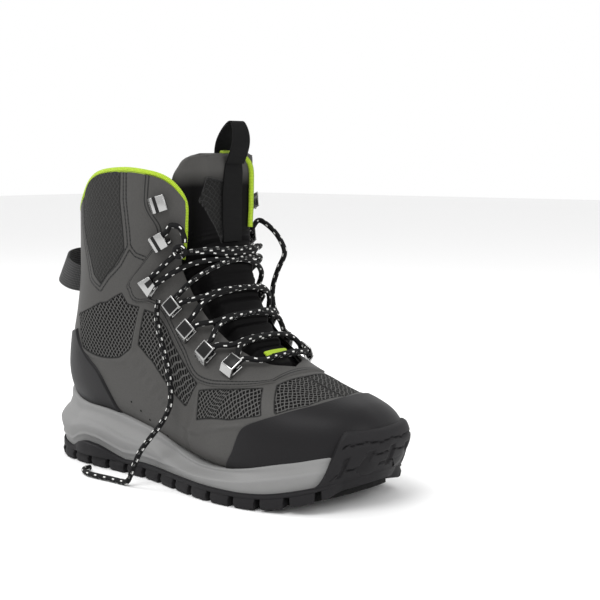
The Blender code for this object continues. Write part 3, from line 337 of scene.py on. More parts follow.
def hermite(table, x, column):
    """Read one column of a table as a smooth curve over its first column."""
    data = np.asarray(table, float)
    keys = data[:, 0]
    values = data[:, column]
    slopes = np.gradient(values, keys)
    x = np.clip(np.asarray(x, float), keys[0], keys[-1])
    i = np.clip(np.searchsorted(keys, x, side="right") - 1, 0, len(keys) - 2)
    width = keys[i + 1] - keys[i]
    t = (x - keys[i]) / width
    rise = values[i] * (2 * t**3 - 3 * t**2 + 1) + values[i + 1] * (3 * t**2 - 2 * t**3)
    bend = slopes[i] * (t**3 - 2 * t**2 + t) + slopes[i + 1] * (t**3 - t**2)
    return rise + width * bend


def catmull(rows, at, closed=False):
    """Smooth curve through the rows, one unit of the parameter from row to row."""
    count = len(rows)
    if closed:
        i = np.floor(at).astype(int)
        points = [rows[(i + k) % count] for k in (-1, 0, 1, 2)]
    else:
        i = np.clip(np.floor(at).astype(int), 0, count - 2)
        padded = np.vstack([2 * rows[0] - rows[1], rows, 2 * rows[-1] - rows[-2]])
        points = [padded[i + 1 + k] for k in (-1, 0, 1, 2)]
    t = (at - i)[:, None]
    a, b, c, d = points
    cubic = 3 * b - a - 3 * c + d
    return 0.5 * (2 * b + (c - a) * t + (2 * a - 5 * b + 4 * c - d) * t * t + cubic * t**3)


def last_table():
    """Both row tables in metres."""
    foot = np.array(FOOT_ROWS) * (
        LENGTH, INSTEP_HEIGHT, LENGTH, HEEL_SEAT, BALL_WIDTH, BALL_WIDTH, 1, 1, 1)
    shaft = np.array(SHAFT_ROWS) * (
        LENGTH, COLLAR_HEIGHT - INSTEP_HEIGHT, LENGTH, COLLAR_HEIGHT, SHAFT_WIDTH, SHAFT_WIDTH,
        1, 1, 1)
    shaft[:, 1] += INSTEP_HEIGHT
    return np.vstack([foot, shaft])


LAST = last_table()


def last_skin(row, turn):
    """Points on the last: turn is 0 on the top line, negative on the lateral side."""
    row, turn = np.broadcast_arrays(np.asarray(row, float), np.asarray(turn, float))
    shape = row.shape
    row = row.ravel()
    turn = turn.ravel()
    top_x, top_z, low_x, low_z, lateral, medial, widest, crown, base = catmull(LAST, row).T
    power = 2 / np.where(np.cos(turn) >= 0, crown, base)
    rise = np.abs(np.cos(turn)) ** power
    share = np.where(np.cos(turn) >= 0, widest + (1 - widest) * rise, widest - widest * rise)
    reach = np.abs(np.sin(turn)) ** power
    y = np.where(np.sin(turn) < 0, -np.maximum(lateral, 0), np.maximum(medial, 0)) * reach
    x = low_x + (top_x - low_x) * share
    z = low_z + (top_z - low_z) * share
    return np.stack([x, y, z], -1).reshape(shape + (3,))


def last_normal(row, turn):
    """Outward normals of the last, from small steps along both parameters."""
    row, turn = np.broadcast_arrays(np.asarray(row, float), np.asarray(turn, float))
    step = 0.03
    row = np.clip(row, 2 * step, TOP_ROW - step)
    along = last_skin(row + step, turn) - last_skin(row - step, turn)
    round_ = last_skin(row, turn + step) - last_skin(row, turn - step)
    normal = np.cross(along, round_)
    normal /= np.maximum(np.linalg.norm(normal, axis=-1, keepdims=True), 1e-12)
    middle = (last_skin(row, 0 * turn) + last_skin(row, 0 * turn + math.pi)) / 2
    outward = np.sum(normal * (last_skin(row, turn) - middle), axis=-1, keepdims=True)
    return normal * np.where(outward < 0, -1, 1)


def last_point(row, turn, out=0.0):
    """Point of the last at a distance out from its skin."""
    return last_skin(row, turn) + np.asarray(out)[..., None] * last_normal(row, turn)


def turn_at(row, y):
    """Turn on the crown side at which a row reaches the sideways distance y."""
    rows = catmull(LAST, np.atleast_1d(np.asarray(row, float)))
    half = np.where(np.asarray(y) < 0, rows[:, 4], rows[:, 5])
    share = np.clip(np.abs(y) / half, 0, 1)
    return np.sign(y) * np.arcsin(share ** (rows[:, 7] / 2))


def half_widths(x, z):
    """Half width of the last beside points of its middle plane, 0 outside its side view."""
    x = np.asarray(x, float)
    z = np.asarray(z, float)
    low = np.zeros_like(x)
    high = np.full_like(x, TOP_ROW)
    for _ in range(26):
        middle = (low + high) / 2
        rows = catmull(LAST, middle.ravel())
        side = (rows[:, 0] - rows[:, 2]) * (z.ravel() - rows[:, 3])
        side = side - (rows[:, 1] - rows[:, 3]) * (x.ravel() - rows[:, 2])
        behind = side.reshape(x.shape) > 0
        low = np.where(behind, middle, low)
        high = np.where(behind, high, middle)
    rows = catmull(LAST, low.ravel())
    run = (rows[:, 0] - rows[:, 2]) ** 2 + (rows[:, 1] - rows[:, 3]) ** 2
    share = (x.ravel() - rows[:, 2]) * (rows[:, 0] - rows[:, 2])
    share = share + (z.ravel() - rows[:, 3]) * (rows[:, 1] - rows[:, 3])
    share = share / np.maximum(run, 1e-12)
    widest = rows[:, 6]
    upper = share >= widest
    power = np.where(upper, rows[:, 7], rows[:, 8])
    spread = np.where(upper, (share - widest) / (1 - widest), (widest - share) / widest)
    spread = np.clip(1 - np.clip(spread, 0, 1) ** power, 0, 1) ** (1 / power)
    inside = (share > 0) & (share < 1)
    lateral = np.where(inside, rows[:, 4] * spread, 0)
    medial = np.where(inside, rows[:, 5] * spread, 0)
    return lateral.reshape(x.shape), medial.reshape(x.shape)


def depth_of_last(points, normals, z):
    """Distance inwards from points of the sole outline to the skin of the last at height z."""
    near = np.full(len(points), -0.012)
    far = np.full(len(points), 0.040)
    for _ in range(22):
        middle = (near + far) / 2
        spot = points - normals * middle[:, None]
        lateral, medial = half_widths(spot[:, 0], z)
        inside = np.where(spot[:, 1] < 0, -spot[:, 1] < lateral, spot[:, 1] < medial)
        far = np.where(inside, middle, far)
        near = np.where(inside, near, middle)
    return far


def outline(share):
    """Sole outline and its outward normals: 0 at the heel, lateral first, 0.5 at the toe."""
    rows = np.array(SOLE_ROWS) * (LENGTH, SOLE_WIDTH, SOLE_WIDTH)
    lateral = rows[:, (0, 1)]
    medial = rows[-2:0:-1, (0, 2)]
    loop = np.vstack([lateral, medial])
    at = np.asarray(share, float) % 1.0 * len(loop)
    step = 0.02
    points = catmull(loop, at, closed=True)
    run = catmull(loop, at + step, closed=True)
    run = run - catmull(loop, at - step + len(loop), closed=True)
    run /= np.linalg.norm(run, axis=1, keepdims=True)
    return points, np.stack([run[:, 1], -run[:, 0]], -1)


def ground(x):
    return TOE_SPRING * np.maximum(hermite(TREAD_ROWS, np.asarray(x) / LENGTH, 1), 0)


def tread_top(x):
    return ground(x) + TREAD_DEPTH * hermite(TREAD_ROWS, np.asarray(x) / LENGTH, 2)


def grid_faces(rows, columns, closed):
    """Quads of a grid of points that is closed across its columns or open."""
    faces = []
    for i in range(rows - 1):
        for j in range(columns if closed else columns - 1):
            k = (j + 1) % columns
            faces.append((i * columns + j, i * columns + k, (i + 1) * columns + k,
                          (i + 1) * columns + j))
    return faces


def slab(inner, outer):
    """Verts and faces of the solid between two open grids of the same size."""
    rows, columns = inner.shape[:2]
    count = rows * columns
    verts = list(inner.reshape(-1, 3)) + list(outer.reshape(-1, 3))
    sheet = grid_faces(rows, columns, False)
    faces = [tuple(reversed(face)) for face in sheet]
    faces += [tuple(v + count for v in face) for face in sheet]
    border = [j for j in range(columns)]
    border += [i * columns + columns - 1 for i in range(1, rows)]
    border += [(rows - 1) * columns + j for j in range(columns - 2, -1, -1)]
    border += [i * columns for i in range(rows - 2, 0, -1)]
    for a, b in zip(border, border[1:] + border[:1]):
        faces.append((a, b, b + count, a + count))
    return verts, faces


def smooth(share):
    """A share from 0 to 1, eased at both ends."""
    return share * share * (3 - 2 * share)


def bumper_lift(share):
    """1 round the toe, where the rand climbs into the bumper, 0 elsewhere."""
    return np.clip((BUMPER_REACH - np.abs(share % 1.0 - 0.5)) / BUMPER_SLANT, 0, 1)


def tongue_out(row, y):
    """Height of the tongue's outer face over the last, let in under the upper at its edges."""
    bulge = TONGUE_BULGE * hermite(TONGUE_ROWS, row, 2)
    throat = SHAFT_WIDTH * hermite(THROAT_ROWS, row, 1)
    under = -(UPPER_WALL + 5 * FIT)
    free = np.clip((throat - 0.003 - np.abs(y)) / 0.010, 0, 1)
    return np.minimum(under + (bulge - under) * smooth(free), bulge)


def seat(row, turn):
    """Point on the last with its axes: towards the throat, up the boot and outwards."""
    spot = last_skin(row, turn)
    out = last_normal(row, turn)
    inward = last_skin(row, turn - math.copysign(0.02, turn)) - spot
    inward -= out * np.dot(inward, out)
    inward /= np.linalg.norm(inward)
    along = np.cross(out, inward)
    if np.dot(along, last_skin(row + 0.1, turn) - spot) < 0:
        along = -along
    return spot, inward, along, out


def lace_in_hook(i, sign, upward=True):
    """Points of the lace where it turns inside hook i of one side."""
    row, turn = BRACKET_ROWS[i][:2]
    spot, inward, along, out = seat(row, sign * turn * math.pi)
    height = STAY_THICKNESS + 2 * FIT + PLATE_METAL + HOOK_ROOM / 2
    back = -HOOK_REACH / 2 + 0.0046 + LACE_WIDTH / 2 + 0.0004
    way = 1 if upward else -1
    turnings = ((0.0095, -1.0), (0.0020, -1.0), (back, -0.45), (back, 0.45), (0.0020, 1.0),
                (0.0095, 1.0))
    return [spot + inward * u + along * way * v * LACE_TURN + out * height for u, v in turnings]


def lace_over_tongue(row_from, row_to, turn_from, turn_to, steps, extra=0.0):
    """Points of the lace between two places, clear of the tongue, the plate and the upper."""
    share = np.linspace(0, 1, steps)
    rows = row_from + (row_to - row_from) * share
    turns = math.pi * (turn_from + (turn_to - turn_from) * share)
    y = last_skin(rows, turns)[:, 1]
    over = np.maximum(tongue_out(rows, y), STAY_THICKNESS + 2 * FIT)
    over = np.maximum(over, np.maximum(np.append(over[1:], 0), np.append(0, over[:-1])))
    return list(last_point(rows, turns, over + LACE_WIDTH / 2 + LACE_LIFT + extra))


def lace_strand(sign, extra):
    """Half of the lace, from the bar over the vamp up to the bar at the ankle."""
    route = lace_over_tongue(6.56, 6.62, 0.05 * -sign, 0.10 * sign, 3, extra)
    side = sign
    for i in range(5):
        route += lace_in_hook(i, side)
        if i < 4:
            row, turn = BRACKET_ROWS[i][:2]
            next_row, next_turn = BRACKET_ROWS[i + 1][:2]
            route += lace_over_tongue(row + 0.55, next_row - 0.55, side * 0.55 * turn,
                                      -side * 0.55 * next_turn, 4, extra)
            side = -side
    ankle = extra + 0.0012
    low = 12.70 + 300 * extra
    route += lace_over_tongue(13.95, low, side * 0.235, side * 0.04, 5, ankle)
    route += lace_over_tongue(low, 13.75, -side * 0.04, -side * 0.20, 5, ankle)
    return np.array(route)


def tube(route, radius, sides=5):
    """Verts and faces of a closed tube along a route."""
    run = np.gradient(route, axis=0)
    run /= np.linalg.norm(run, axis=1, keepdims=True)
    across = np.cross(run[0], (0.3, 0.2, 1.0))
    verts = []
    for spot, way in zip(route, run):
        across = across - way * np.dot(across, way)
        across /= np.linalg.norm(across)
        other = np.cross(way, across)
        for k in range(sides):
            angle = 2 * math.pi * (k + 0.3) / sides
            verts.append(spot + radius * (math.cos(angle) * across + math.sin(angle) * other))
    faces = grid_faces(len(route), sides, True)
    faces += [tuple(range(sides)), tuple((len(route) - 1) * sides + k for k in range(sides))]
    return verts, faces


def route_points(table):
    return list(np.array(table) * (LENGTH, SOLE_WIDTH, COLLAR_HEIGHT))


def knot_points():
    """Short coil of lace on the bar at the lateral side of the ankle."""
    middle = np.array(KNOT_PLACE) * (LENGTH, SOLE_WIDTH, COLLAR_HEIGHT)
    axis = np.array([0.55, -0.83, 0.05])
    axis /= np.linalg.norm(axis)
    first = np.cross(axis, (0, 0, 1))
    first /= np.linalg.norm(first)
    second = np.cross(axis, first)
    angles = np.linspace(0, 2 * math.pi * KNOT_TURNS, 14)
    rise = 1.12 * LACE_WIDTH * angles / (2 * math.pi)
    return [middle + axis * h + KNOT_RADIUS * (math.cos(a) * first + math.sin(a) * second)
            for a, h in zip(angles, rise)]


# The boot's own frame has x = 0 at the heel and y = 0 on the middle line of the foot
REST_X = 0.050
heel_rest = frame["record"]["mounts"][0]["pos_m"]
SHIFT = np.array((heel_rest[0] - REST_X, heel_rest[1], 0.0))
MM = 0.001
FINE = 1.0

# Camera, in the boot's own frame
CAMERA_AZIMUTH = math.radians(39.99)
CAMERA_ELEVATION = math.radians(6.24)
CAMERA_DISTANCE = 1.051
CAMERA_TARGET = (0.1302, 0.1092, 0.1200)
CAMERA_LENS = 77.8
CAMERA_SENSOR = 36

# Strength of the white surroundings, and of the plain surfaces' shine
WORLD_LIGHT = 1.0
SHEEN = 0.14


def place(points):
    """Points of the boot's own frame, moved into the shared frame."""
    return np.asarray(points, float) + SHIFT


# Camera


def make_camera():
    side = math.cos(CAMERA_ELEVATION)
    back = Vector((math.sin(CAMERA_AZIMUTH) * side, -math.cos(CAMERA_AZIMUTH) * side,
                   math.sin(CAMERA_ELEVATION)))
    data = bpy.data.cameras.new("camera")
    data.lens = CAMERA_LENS
    data.sensor_width = CAMERA_SENSOR
    camera = bpy.data.objects.new("camera", data)
    bpy.context.collection.objects.link(camera)
    camera.location = Vector(place(CAMERA_TARGET)) + back * CAMERA_DISTANCE
    camera.rotation_euler = back.to_track_quat("Z", "Y").to_euler()
    bpy.context.scene.camera = camera


# Materials


class Shader:
    """Small helper round one material's node tree."""

    def __init__(self, name, colour, roughness, metallic=0.0, coat=0.0):
        self.material = bpy.data.materials.new(name)
        self.material.use_nodes = True
        self.tree = self.material.node_tree
        self.bsdf = self.tree.nodes["Principled BSDF"]
        self.bsdf.inputs["Base Color"].default_value = (*colour, 1)
        self.bsdf.inputs["Roughness"].default_value = roughness
        self.bsdf.inputs["Metallic"].default_value = metallic
        self.bsdf.inputs["Coat Weight"].default_value = coat
        self.bsdf.inputs["Specular IOR Level"].default_value = 0.5 if metallic else SHEEN
        self.colour = colour
        self.height = None

    def link(self, value, socket):
        if isinstance(value, (int, float)):
            socket.default_value = value
        else:
            self.tree.links.new(value, socket)

    def math(self, kind, a, b=0.0, c=0.0):
        node = self.tree.nodes.new("ShaderNodeMath")
        node.operation = kind
        for value, socket in zip((a, b, c), node.inputs):
            self.link(value, socket)
        return node.outputs[0]

    def step(self, value, low, high, start=0.0, end=1.0):
        node = self.tree.nodes.new("ShaderNodeMapRange")
        node.interpolation_type = "SMOOTHSTEP"
        self.link(value, node.inputs["Value"])
        for name, number in (("From Min", low), ("From Max", high), ("To Min", start), ("To Max", end)):
            node.inputs[name].default_value = number
        return node.outputs[0]

    def attribute(self, name):
        node = self.tree.nodes.new("ShaderNodeAttribute")
        node.attribute_name = name
        return node.outputs["Fac"]

    def uv(self):
        node = self.tree.nodes.new("ShaderNodeUVMap")
        node.uv_map = "mm"
        parts = self.tree.nodes.new("ShaderNodeSeparateXYZ")
        self.tree.links.new(node.outputs[0], parts.inputs[0])
        return node.outputs[0], parts.outputs[0], parts.outputs[1]

    def place(self):
        return self.tree.nodes.new("ShaderNodeTexCoord").outputs["Object"]

    def noise(self, vector, scale, detail=2.0):
        node = self.tree.nodes.new("ShaderNodeTexNoise")
        self.tree.links.new(vector, node.inputs["Vector"])
        node.inputs["Scale"].default_value = scale
        node.inputs["Detail"].default_value = detail
        return node.outputs["Fac"]

    def mix(self, share, a, b):
        node = self.tree.nodes.new("ShaderNodeMix")
        node.data_type = "RGBA"
        self.link(share, node.inputs[0])
        for value, socket in ((a, node.inputs[6]), (b, node.inputs[7])):
            if isinstance(value, tuple):
                socket.default_value = (*value, 1)
            else:
                self.tree.links.new(value, socket)
        return node.outputs[2]

    def paint(self, colour):
        self.tree.links.new(colour, self.bsdf.inputs["Base Color"])

    def rough(self, value):
        self.tree.links.new(value, self.bsdf.inputs["Roughness"])

    def bump(self, height, distance, strength=1.0):
        node = self.tree.nodes.new("ShaderNodeBump")
        node.inputs["Distance"].default_value = distance
        node.inputs["Strength"].default_value = strength
        self.tree.links.new(height, node.inputs["Height"])
        if self.height is not None:
            self.tree.links.new(self.height, node.inputs["Normal"])
        self.height = node.outputs[0]
        self.tree.links.new(self.height, self.bsdf.inputs["Normal"])


def waves(shader, along, period, shift=0.0):
    """Sine of a length in mm, from 0 to 1."""
    turned = shader.math("MULTIPLY", along, 2 * math.pi / period)
    value = shader.math("SINE", shader.math("ADD", turned, shift))
    return shader.math("MULTIPLY_ADD", value, 0.5, 0.5)


def net(shader, u, v, wide, tall):
    """Height of an open knitted net with slanted cells."""
    wobble = shader.math("MULTIPLY", waves(shader, v, tall * 2), wide * 0.22)
    u = shader.math("ADD", u, wobble)
    a = shader.math("ADD", shader.math("DIVIDE", u, wide), shader.math("DIVIDE", v, tall))
    b = shader.math("SUBTRACT", shader.math("DIVIDE", u, wide), shader.math("DIVIDE", v, tall))
    one = shader.math("ABSOLUTE", shader.math("SINE", shader.math("MULTIPLY", a, math.pi)))
    two = shader.math("ABSOLUTE", shader.math("SINE", shader.math("MULTIPLY", b, math.pi)))
    return shader.step(shader.math("MINIMUM", one, two), 0.22, 0.62, 1.0, 0.0)


# Colours
SMOOTH = (0.062, 0.0605, 0.058)
MESH_LIGHT = (0.088, 0.087, 0.084)
# Painted shade in the holes of the open net
MESH_HOLE_SHADE = (0.0010, 0.0010, 0.0010)
TONGUE_BLACK = (0.0025, 0.0023, 0.0025)
MOULDED = (0.0095, 0.0090, 0.0098)
LIME = (0.46, 0.66, 0.035)
# Painted shade in the stitch grooves
GROOVE_SHADE = (0.006, 0.006, 0.006)
THREAD = (0.050, 0.050, 0.050)

# Repeats of the cloth in mm
NET_WIDE = 3.8
NET_TALL = 4.4
CLOTH_PITCH = 0.9
STITCH_PITCH = 3.0


def stitches(shader, colour, groove):
    """Colour and relief of a groove darkened with painted shade, with dashes of pale thread in it."""
    run = shader.math("DIVIDE", shader.attribute("run"), STITCH_PITCH)
    dash = shader.step(shader.math("FRACT", run), 0.62, 0.72, 1.0, 0.0)
    thread = shader.math("MULTIPLY", groove, dash)
    # Painted shade: the groove is darkened, and the thread dashes in it keep a paler colour.
    colour = shader.mix(shader.math("MULTIPLY", groove, 0.90), colour, GROOVE_SHADE)
    colour = shader.mix(shader.math("MULTIPLY", thread, 0.45), colour, THREAD)
    return colour, shader.math("SUBTRACT", shader.math("MULTIPLY", thread, 0.6), groove)


def skin_material(name="skin", plain=SMOOTH, light=MESH_LIGHT, dark=MESH_HOLE_SHADE):
    """Coated textile with mesh panels, welded lines and double stitches, told by attributes; painted
    shade darkens the knit's hollows, the mesh panel edges and the stitch grooves.
    """
    s = Shader(name, plain, 0.55)
    _, u, v = s.uv()
    mesh = s.step(s.attribute("mesh"), -0.35, 0.35, 1.0, 0.0)
    knit = net(s, u, v, NET_WIDE, NET_TALL)
    strong = s.attribute("open_net")
    # The knit is darker in its hollows than on its raised strands: painted shade, near black in the open
    # net's holes, milder in the close knit.
    cloth = s.mix(knit, dark, light)
    close = s.mix(knit, tuple(0.30 * c for c in light), tuple(0.50 * c for c in light))
    cloth = s.mix(strong, close, cloth)
    fine = s.noise(s.place(), 900.0, 3.0)
    base = s.mix(fine, tuple(0.82 * c for c in plain), tuple(1.18 * c for c in plain))
    colour = s.mix(mesh, base, cloth)
    # Near-black band along the outline of each sunk mesh panel: painted shade at the panel's step.
    edge = s.step(s.math("ABSOLUTE", s.attribute("mesh")), 0.2, 1.1, 1.0, 0.0)
    colour = s.mix(s.math("MULTIPLY", edge, 0.80), colour, (0.008, 0.008, 0.008))
    seam = s.attribute("seam")
    groove = s.step(s.math("ABSOLUTE", s.math("SUBTRACT", seam, 1.5)), 0.35, 0.8, 1.0, 0.0)
    colour, relief = stitches(s, colour, groove)
    colour = s.mix(s.attribute("grey_top"), colour, SMOOTH)
    s.paint(colour)
    s.rough(s.step(mesh, 0.0, 1.0, 0.50, 0.85))
    weave = s.math("MULTIPLY", waves(s, u, CLOTH_PITCH), waves(s, v, CLOTH_PITCH))
    s.bump(weave, 0.00006, 0.6)
    s.bump(s.math("MULTIPLY", knit, mesh), 0.0006)
    s.bump(relief, 0.0005)
    return s.material


def plate_material():
    s = Shader("plate", SMOOTH, 0.50)
    fine = s.noise(s.place(), 900.0, 3.0)
    colour = s.mix(fine, tuple(0.80 * c for c in SMOOTH), tuple(1.15 * c for c in SMOOTH))
    seam = s.attribute("seam")
    one = s.step(s.math("ABSOLUTE", s.math("SUBTRACT", seam, 1.9)), 0.3, 0.75, 1.0, 0.0)
    two = s.step(s.math("ABSOLUTE", s.math("SUBTRACT", seam, 4.5)), 0.3, 0.75, 1.0, 0.0)
    groove = s.math("MAXIMUM", one, two)
    colour, relief = stitches(s, colour, groove)
    s.paint(colour)
    _, u, v = s.uv()
    s.bump(s.math("MULTIPLY", waves(s, u, CLOTH_PITCH), waves(s, v, CLOTH_PITCH)), 0.00006, 0.6)
    s.bump(relief, 0.0005)
    return s.material


def grained(name, colour, roughness, scale, depth, coat=0.0):
    """Plain moulded or felted stuff with an uneven colour and a fine grain."""
    s = Shader(name, colour, roughness, coat=coat)
    fine = s.noise(s.place(), scale, 4.0)
    large = s.noise(s.place(), 18.0, 2.0)
    tone = s.mix(large, tuple(0.88 * c for c in colour), tuple(1.12 * c for c in colour))
    s.paint(tone)
    s.rough(s.step(large, 0.2, 0.8, roughness - 0.07, roughness + 0.07))
    s.bump(fine, depth)
    return s.material


def woven(name, colour, period, sheen=0.1):
    """Webbing with ribs along its length and picks across it, its colour darker between the ribs and
    lighter on them: painted shade and light.
    """
    s = Shader(name, colour, 0.75)
    s.bsdf.inputs["Sheen Weight"].default_value = sheen
    _, u, v = s.uv()
    ribs = s.math("MULTIPLY", waves(s, u, period), waves(s, v, period * 0.8))
    # The colour follows the ribs' height: painted shade between the ribs and painted light on their
    # crests.
    s.paint(s.mix(ribs, tuple(0.6 * c for c in colour), tuple(1.5 * c for c in colour)))
    s.bump(ribs, 0.00035)
    return s.material


def lace_material():
    """Round black braid with pairs of white flecks."""
    s = Shader("lace_braid", (0.0060, 0.0060, 0.0064), 0.70)
    _, u, v = s.uv()
    lane = s.math("MULTIPLY", v, 4.0)
    centre = s.math("ABSOLUTE", s.math("SUBTRACT", s.math("FRACT", lane), 0.5))
    odd = s.math("MODULO", s.math("FLOOR", lane), 2.0)
    beat = s.math("FRACT", s.math("ADD", s.math("DIVIDE", u, 9.5), s.math("MULTIPLY", odd, 0.42)))
    fleck = s.math("MULTIPLY", s.step(centre, 0.11, 0.19, 1.0, 0.0),
                   s.step(s.math("ABSOLUTE", s.math("SUBTRACT", beat, 0.5)), 0.10, 0.14, 1.0, 0.0))
    s.paint(s.mix(fleck, (0.0060, 0.0060, 0.0064), (0.72, 0.72, 0.70)))
    a = s.math("ADD", s.math("MULTIPLY", v, 8.0), s.math("DIVIDE", u, 1.6))
    b = s.math("SUBTRACT", s.math("MULTIPLY", v, 8.0), s.math("DIVIDE", u, 1.6))
    braid = s.math("MAXIMUM", waves(s, a, 1.0), waves(s, b, 1.0))
    s.bump(braid, 0.00022)
    return s.material


# Meshes


def piece(name, verts, faces, look, uvs=None, attributes=None, sharp=None):
    """Mesh object in the shared frame that rides on the boot."""
    mesh = bpy.data.meshes.new(name)
    mesh.from_pydata(np.asarray(verts, float).tolist(), [], faces)
    mesh.materials.append(look)
    if uvs is not None:
        layer = mesh.uv_layers.new(name="mm")
        index = np.empty(len(mesh.loops), dtype=np.int32)
        mesh.loops.foreach_get("vertex_index", index)
        layer.data.foreach_set("uv", np.asarray(uvs, np.float32)[index].ravel())
    for key, values in (attributes or {}).items():
        data = mesh.attributes.new(key, "FLOAT", "POINT")
        data.data.foreach_set("value", np.asarray(values, np.float32).ravel())
    mesh.shade_smooth()
    if sharp:
        mesh.set_sharp_from_angle(angle=math.radians(sharp))
    made = bpy.data.objects.new(name, mesh)
    bpy.context.collection.objects.link(made)
    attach(made, "root")
    return made


def faces_out(made):
    """Turn all faces of a piece outwards."""
    shaped = bmesh.new()
    shaped.from_mesh(made.data)
    bmesh.ops.recalc_face_normals(shaped, faces=shaped.faces)
    shaped.to_mesh(made.data)
    shaped.free()
    return made


def lengths(points, axis):
    """Running length in mm along one axis of a grid of points."""
    steps = np.linalg.norm(np.diff(points, axis=axis), axis=-1)
    zero = np.zeros_like(np.take(steps, [0], axis=axis))
    return np.concatenate([zero, np.cumsum(steps, axis=axis)], axis=axis) / MM


def eased(count, bunch=0.75):
    """Numbers from 0 to 1 that lie closer together near both ends."""
    t = np.linspace(0, 1, count)
    return (1 - bunch) * t + bunch * (0.5 - 0.5 * np.cos(np.pi * t))


# Lines and panels on the last: last row, half turns from the top line
MESH_REAR = ((15.39, 0.675), (14.89, 0.533), (14.40, 0.475), (13.60, 0.462), (12.91, 0.430),
             (11.72, 0.489), (13.90, 0.633))
MESH_FRONT = ((12.55, 0.417), (11.72, 0.382), (10.82, 0.377), (9.50, 0.390), (8.20, 0.405),
              (8.15, 0.483), (10.43, 0.472), (10.82, 0.475), (11.52, 0.475))
MESH_SHAFT = ((20.9, 0.478), (19.0, 0.481), (16.58, 0.468), (16.04, 0.497), (15.74, 0.536),
              (16.48, 0.583), (17.67, 0.628), (18.67, 0.669), (20.9, 0.690))
MESH_BALL = ((7.95, 0.418), (6.75, 0.310), (5.70, 0.200), (4.98, 0.338), (6.06, 0.418),
             (7.50, 0.490))
MESH_VAMP = ((5.41, 0.145), (5.30, 0.0), (5.41, -0.145), (4.52, -0.305), (3.70, -0.190),
             (3.25, 0.0), (3.70, 0.190), (4.52, 0.305))
SEAM_SHAFT = ((20.9, 0.462), (19.0, 0.465), (16.55, 0.450), (15.95, 0.480), (15.50, 0.536),
              (16.35, 0.600), (17.60, 0.643), (18.67, 0.684), (20.9, 0.705))
SEAM_FOLD = ((16.55, 0.450), (15.84, 0.425), (15.14, 0.385))
RIDGE_BAND = ((13.90, 0.640), (12.70, 0.560), (11.57, 0.500), (10.97, 0.496), (9.13, 0.500),
              (7.60, 0.515), (6.55, 0.478), (5.50, 0.420))
RIDGE_RIB = ((12.75, 0.428), (11.60, 0.486))
CREASE = ((8.14, 0.400), (7.94, 0.461), (7.74, 0.500), (7.55, 0.600), (7.40, 0.720))
PINHOLES = ((10.28, 0.600), (9.75, 0.606), (9.28, 0.619), (8.85, 0.640), (8.45, 0.668))


def dense_line(table, side, closed=False):
    """Points every half millimetre along a line on the last, with their running length."""
    rows = np.array(table, float)
    if closed:
        rows = np.vstack([rows, rows[:1]])
    share = np.linspace(0, len(rows) - 1, 40 * len(rows))
    row = np.interp(share, np.arange(len(rows)), rows[:, 0])
    turn = side * math.pi * np.interp(share, np.arange(len(rows)), rows[:, 1])
    spots = last_skin(row, turn)
    run = np.concatenate([[0], np.cumsum(np.linalg.norm(np.diff(spots, axis=0), axis=1))])
    at = np.arange(0, run[-1], 0.0005)
    return np.stack([np.interp(at, run, spots[:, k]) for k in range(3)], -1), at


def inside(table, rows, turns, side):
    """Whether grid points lie inside a panel."""
    shape = np.array(table, float)
    px = shape[:, 0]
    py = shape[:, 1] * side * math.pi
    hit = np.zeros(rows.shape, bool)
    for k in range(len(px)):
        j = k - 1
        crosses = (py[k] > turns) != (py[j] > turns)
        gap = np.where(py[j] == py[k], 1e-9, py[j] - py[k])
        hit ^= crosses & (rows < (px[j] - px[k]) * (turns - py[k]) / gap + px[k])
    return hit


def distances(spots, lines):
    """Distance in mm from each spot to the nearest of some lines, and the length along it."""
    tree = KDTree(sum(len(points) for points, _ in lines))
    run = np.concatenate([at for _, at in lines])
    for i, point in enumerate(np.vstack([points for points, _ in lines])):
        tree.insert(point, i)
    tree.balance()
    flat = spots.reshape(-1, 3)
    far = np.empty(len(flat))
    along = np.empty(len(flat))
    for i, spot in enumerate(flat):
        _, index, far[i] = tree.find(spot)
        along[i] = run[index]
    return far.reshape(spots.shape[:-1]) / MM, along.reshape(spots.shape[:-1]) / MM


# Upper


# Last rows where pieces start or end
SKIN_START = 0.02
CAP_START = 0.03
PLATE_START = 5.56
THROAT_START = 5.98
COUNTER_START = 9.8
BELOW_COLLAR = 13.0
TONGUE_START = 5.4
TONGUE_END = 20.55

# The skin is left out under the foot: half turns from the top line, last row
UNDER_TURN = 0.84
UNDER_ROW = 11.8


def throat_turns(rows):
    """Turns of the lateral and medial edge of the throat."""
    opened = np.clip((rows - THROAT_START) / 0.07, 0, 1)
    lateral = SHAFT_WIDTH * hermite(THROAT_ROWS, rows, 1) * opened
    medial = SHAFT_WIDTH * hermite(THROAT_ROWS, rows, 2) * opened
    return -turn_at(rows, -lateral), turn_at(rows, medial)


def around(rows, share):
    """Turn on a row for a share of the way round, from the lateral throat edge to the medial."""
    lateral, medial = throat_turns(rows.ravel())
    lateral = lateral.reshape(rows.shape)
    medial = medial.reshape(rows.shape)
    left = -(lateral + (math.pi - lateral) * 2 * share)
    right = medial + (math.pi - medial) * 2 * (1 - share)
    return np.where(share <= 0.5, left, right)


def meet_collar(shape, turns_on, drop=0.0):
    """Last row at which each column of a piece meets the collar line."""
    low = np.full(shape, BELOW_COLLAR)
    high = np.full(shape, TOP_ROW)
    for _ in range(24):
        middle = (low + high) / 2
        spot = last_skin(middle, turns_on(middle))
        line = COLLAR_HEIGHT * hermite(COLLAR_ROWS, spot[:, 0] / LENGTH, 1) - drop
        above = spot[:, 2] > line
        high = np.where(above, middle, high)
        low = np.where(above, low, middle)
    return low


def collar_rows(share, drop=0.0):
    """Last row at which each column of the upper meets the collar line."""
    return meet_collar(share.shape, lambda rows: around(rows, share), drop)


def upper_grid(row_count, column_count, drop=0.0):
    share = np.linspace(0, 1, column_count)
    top = collar_rows(share, drop)
    up = np.linspace(0, 1, row_count)
    rows = SKIN_START + (top[None, :] - SKIN_START) * up[:, None]
    return rows, around(rows, np.broadcast_to(share, rows.shape))


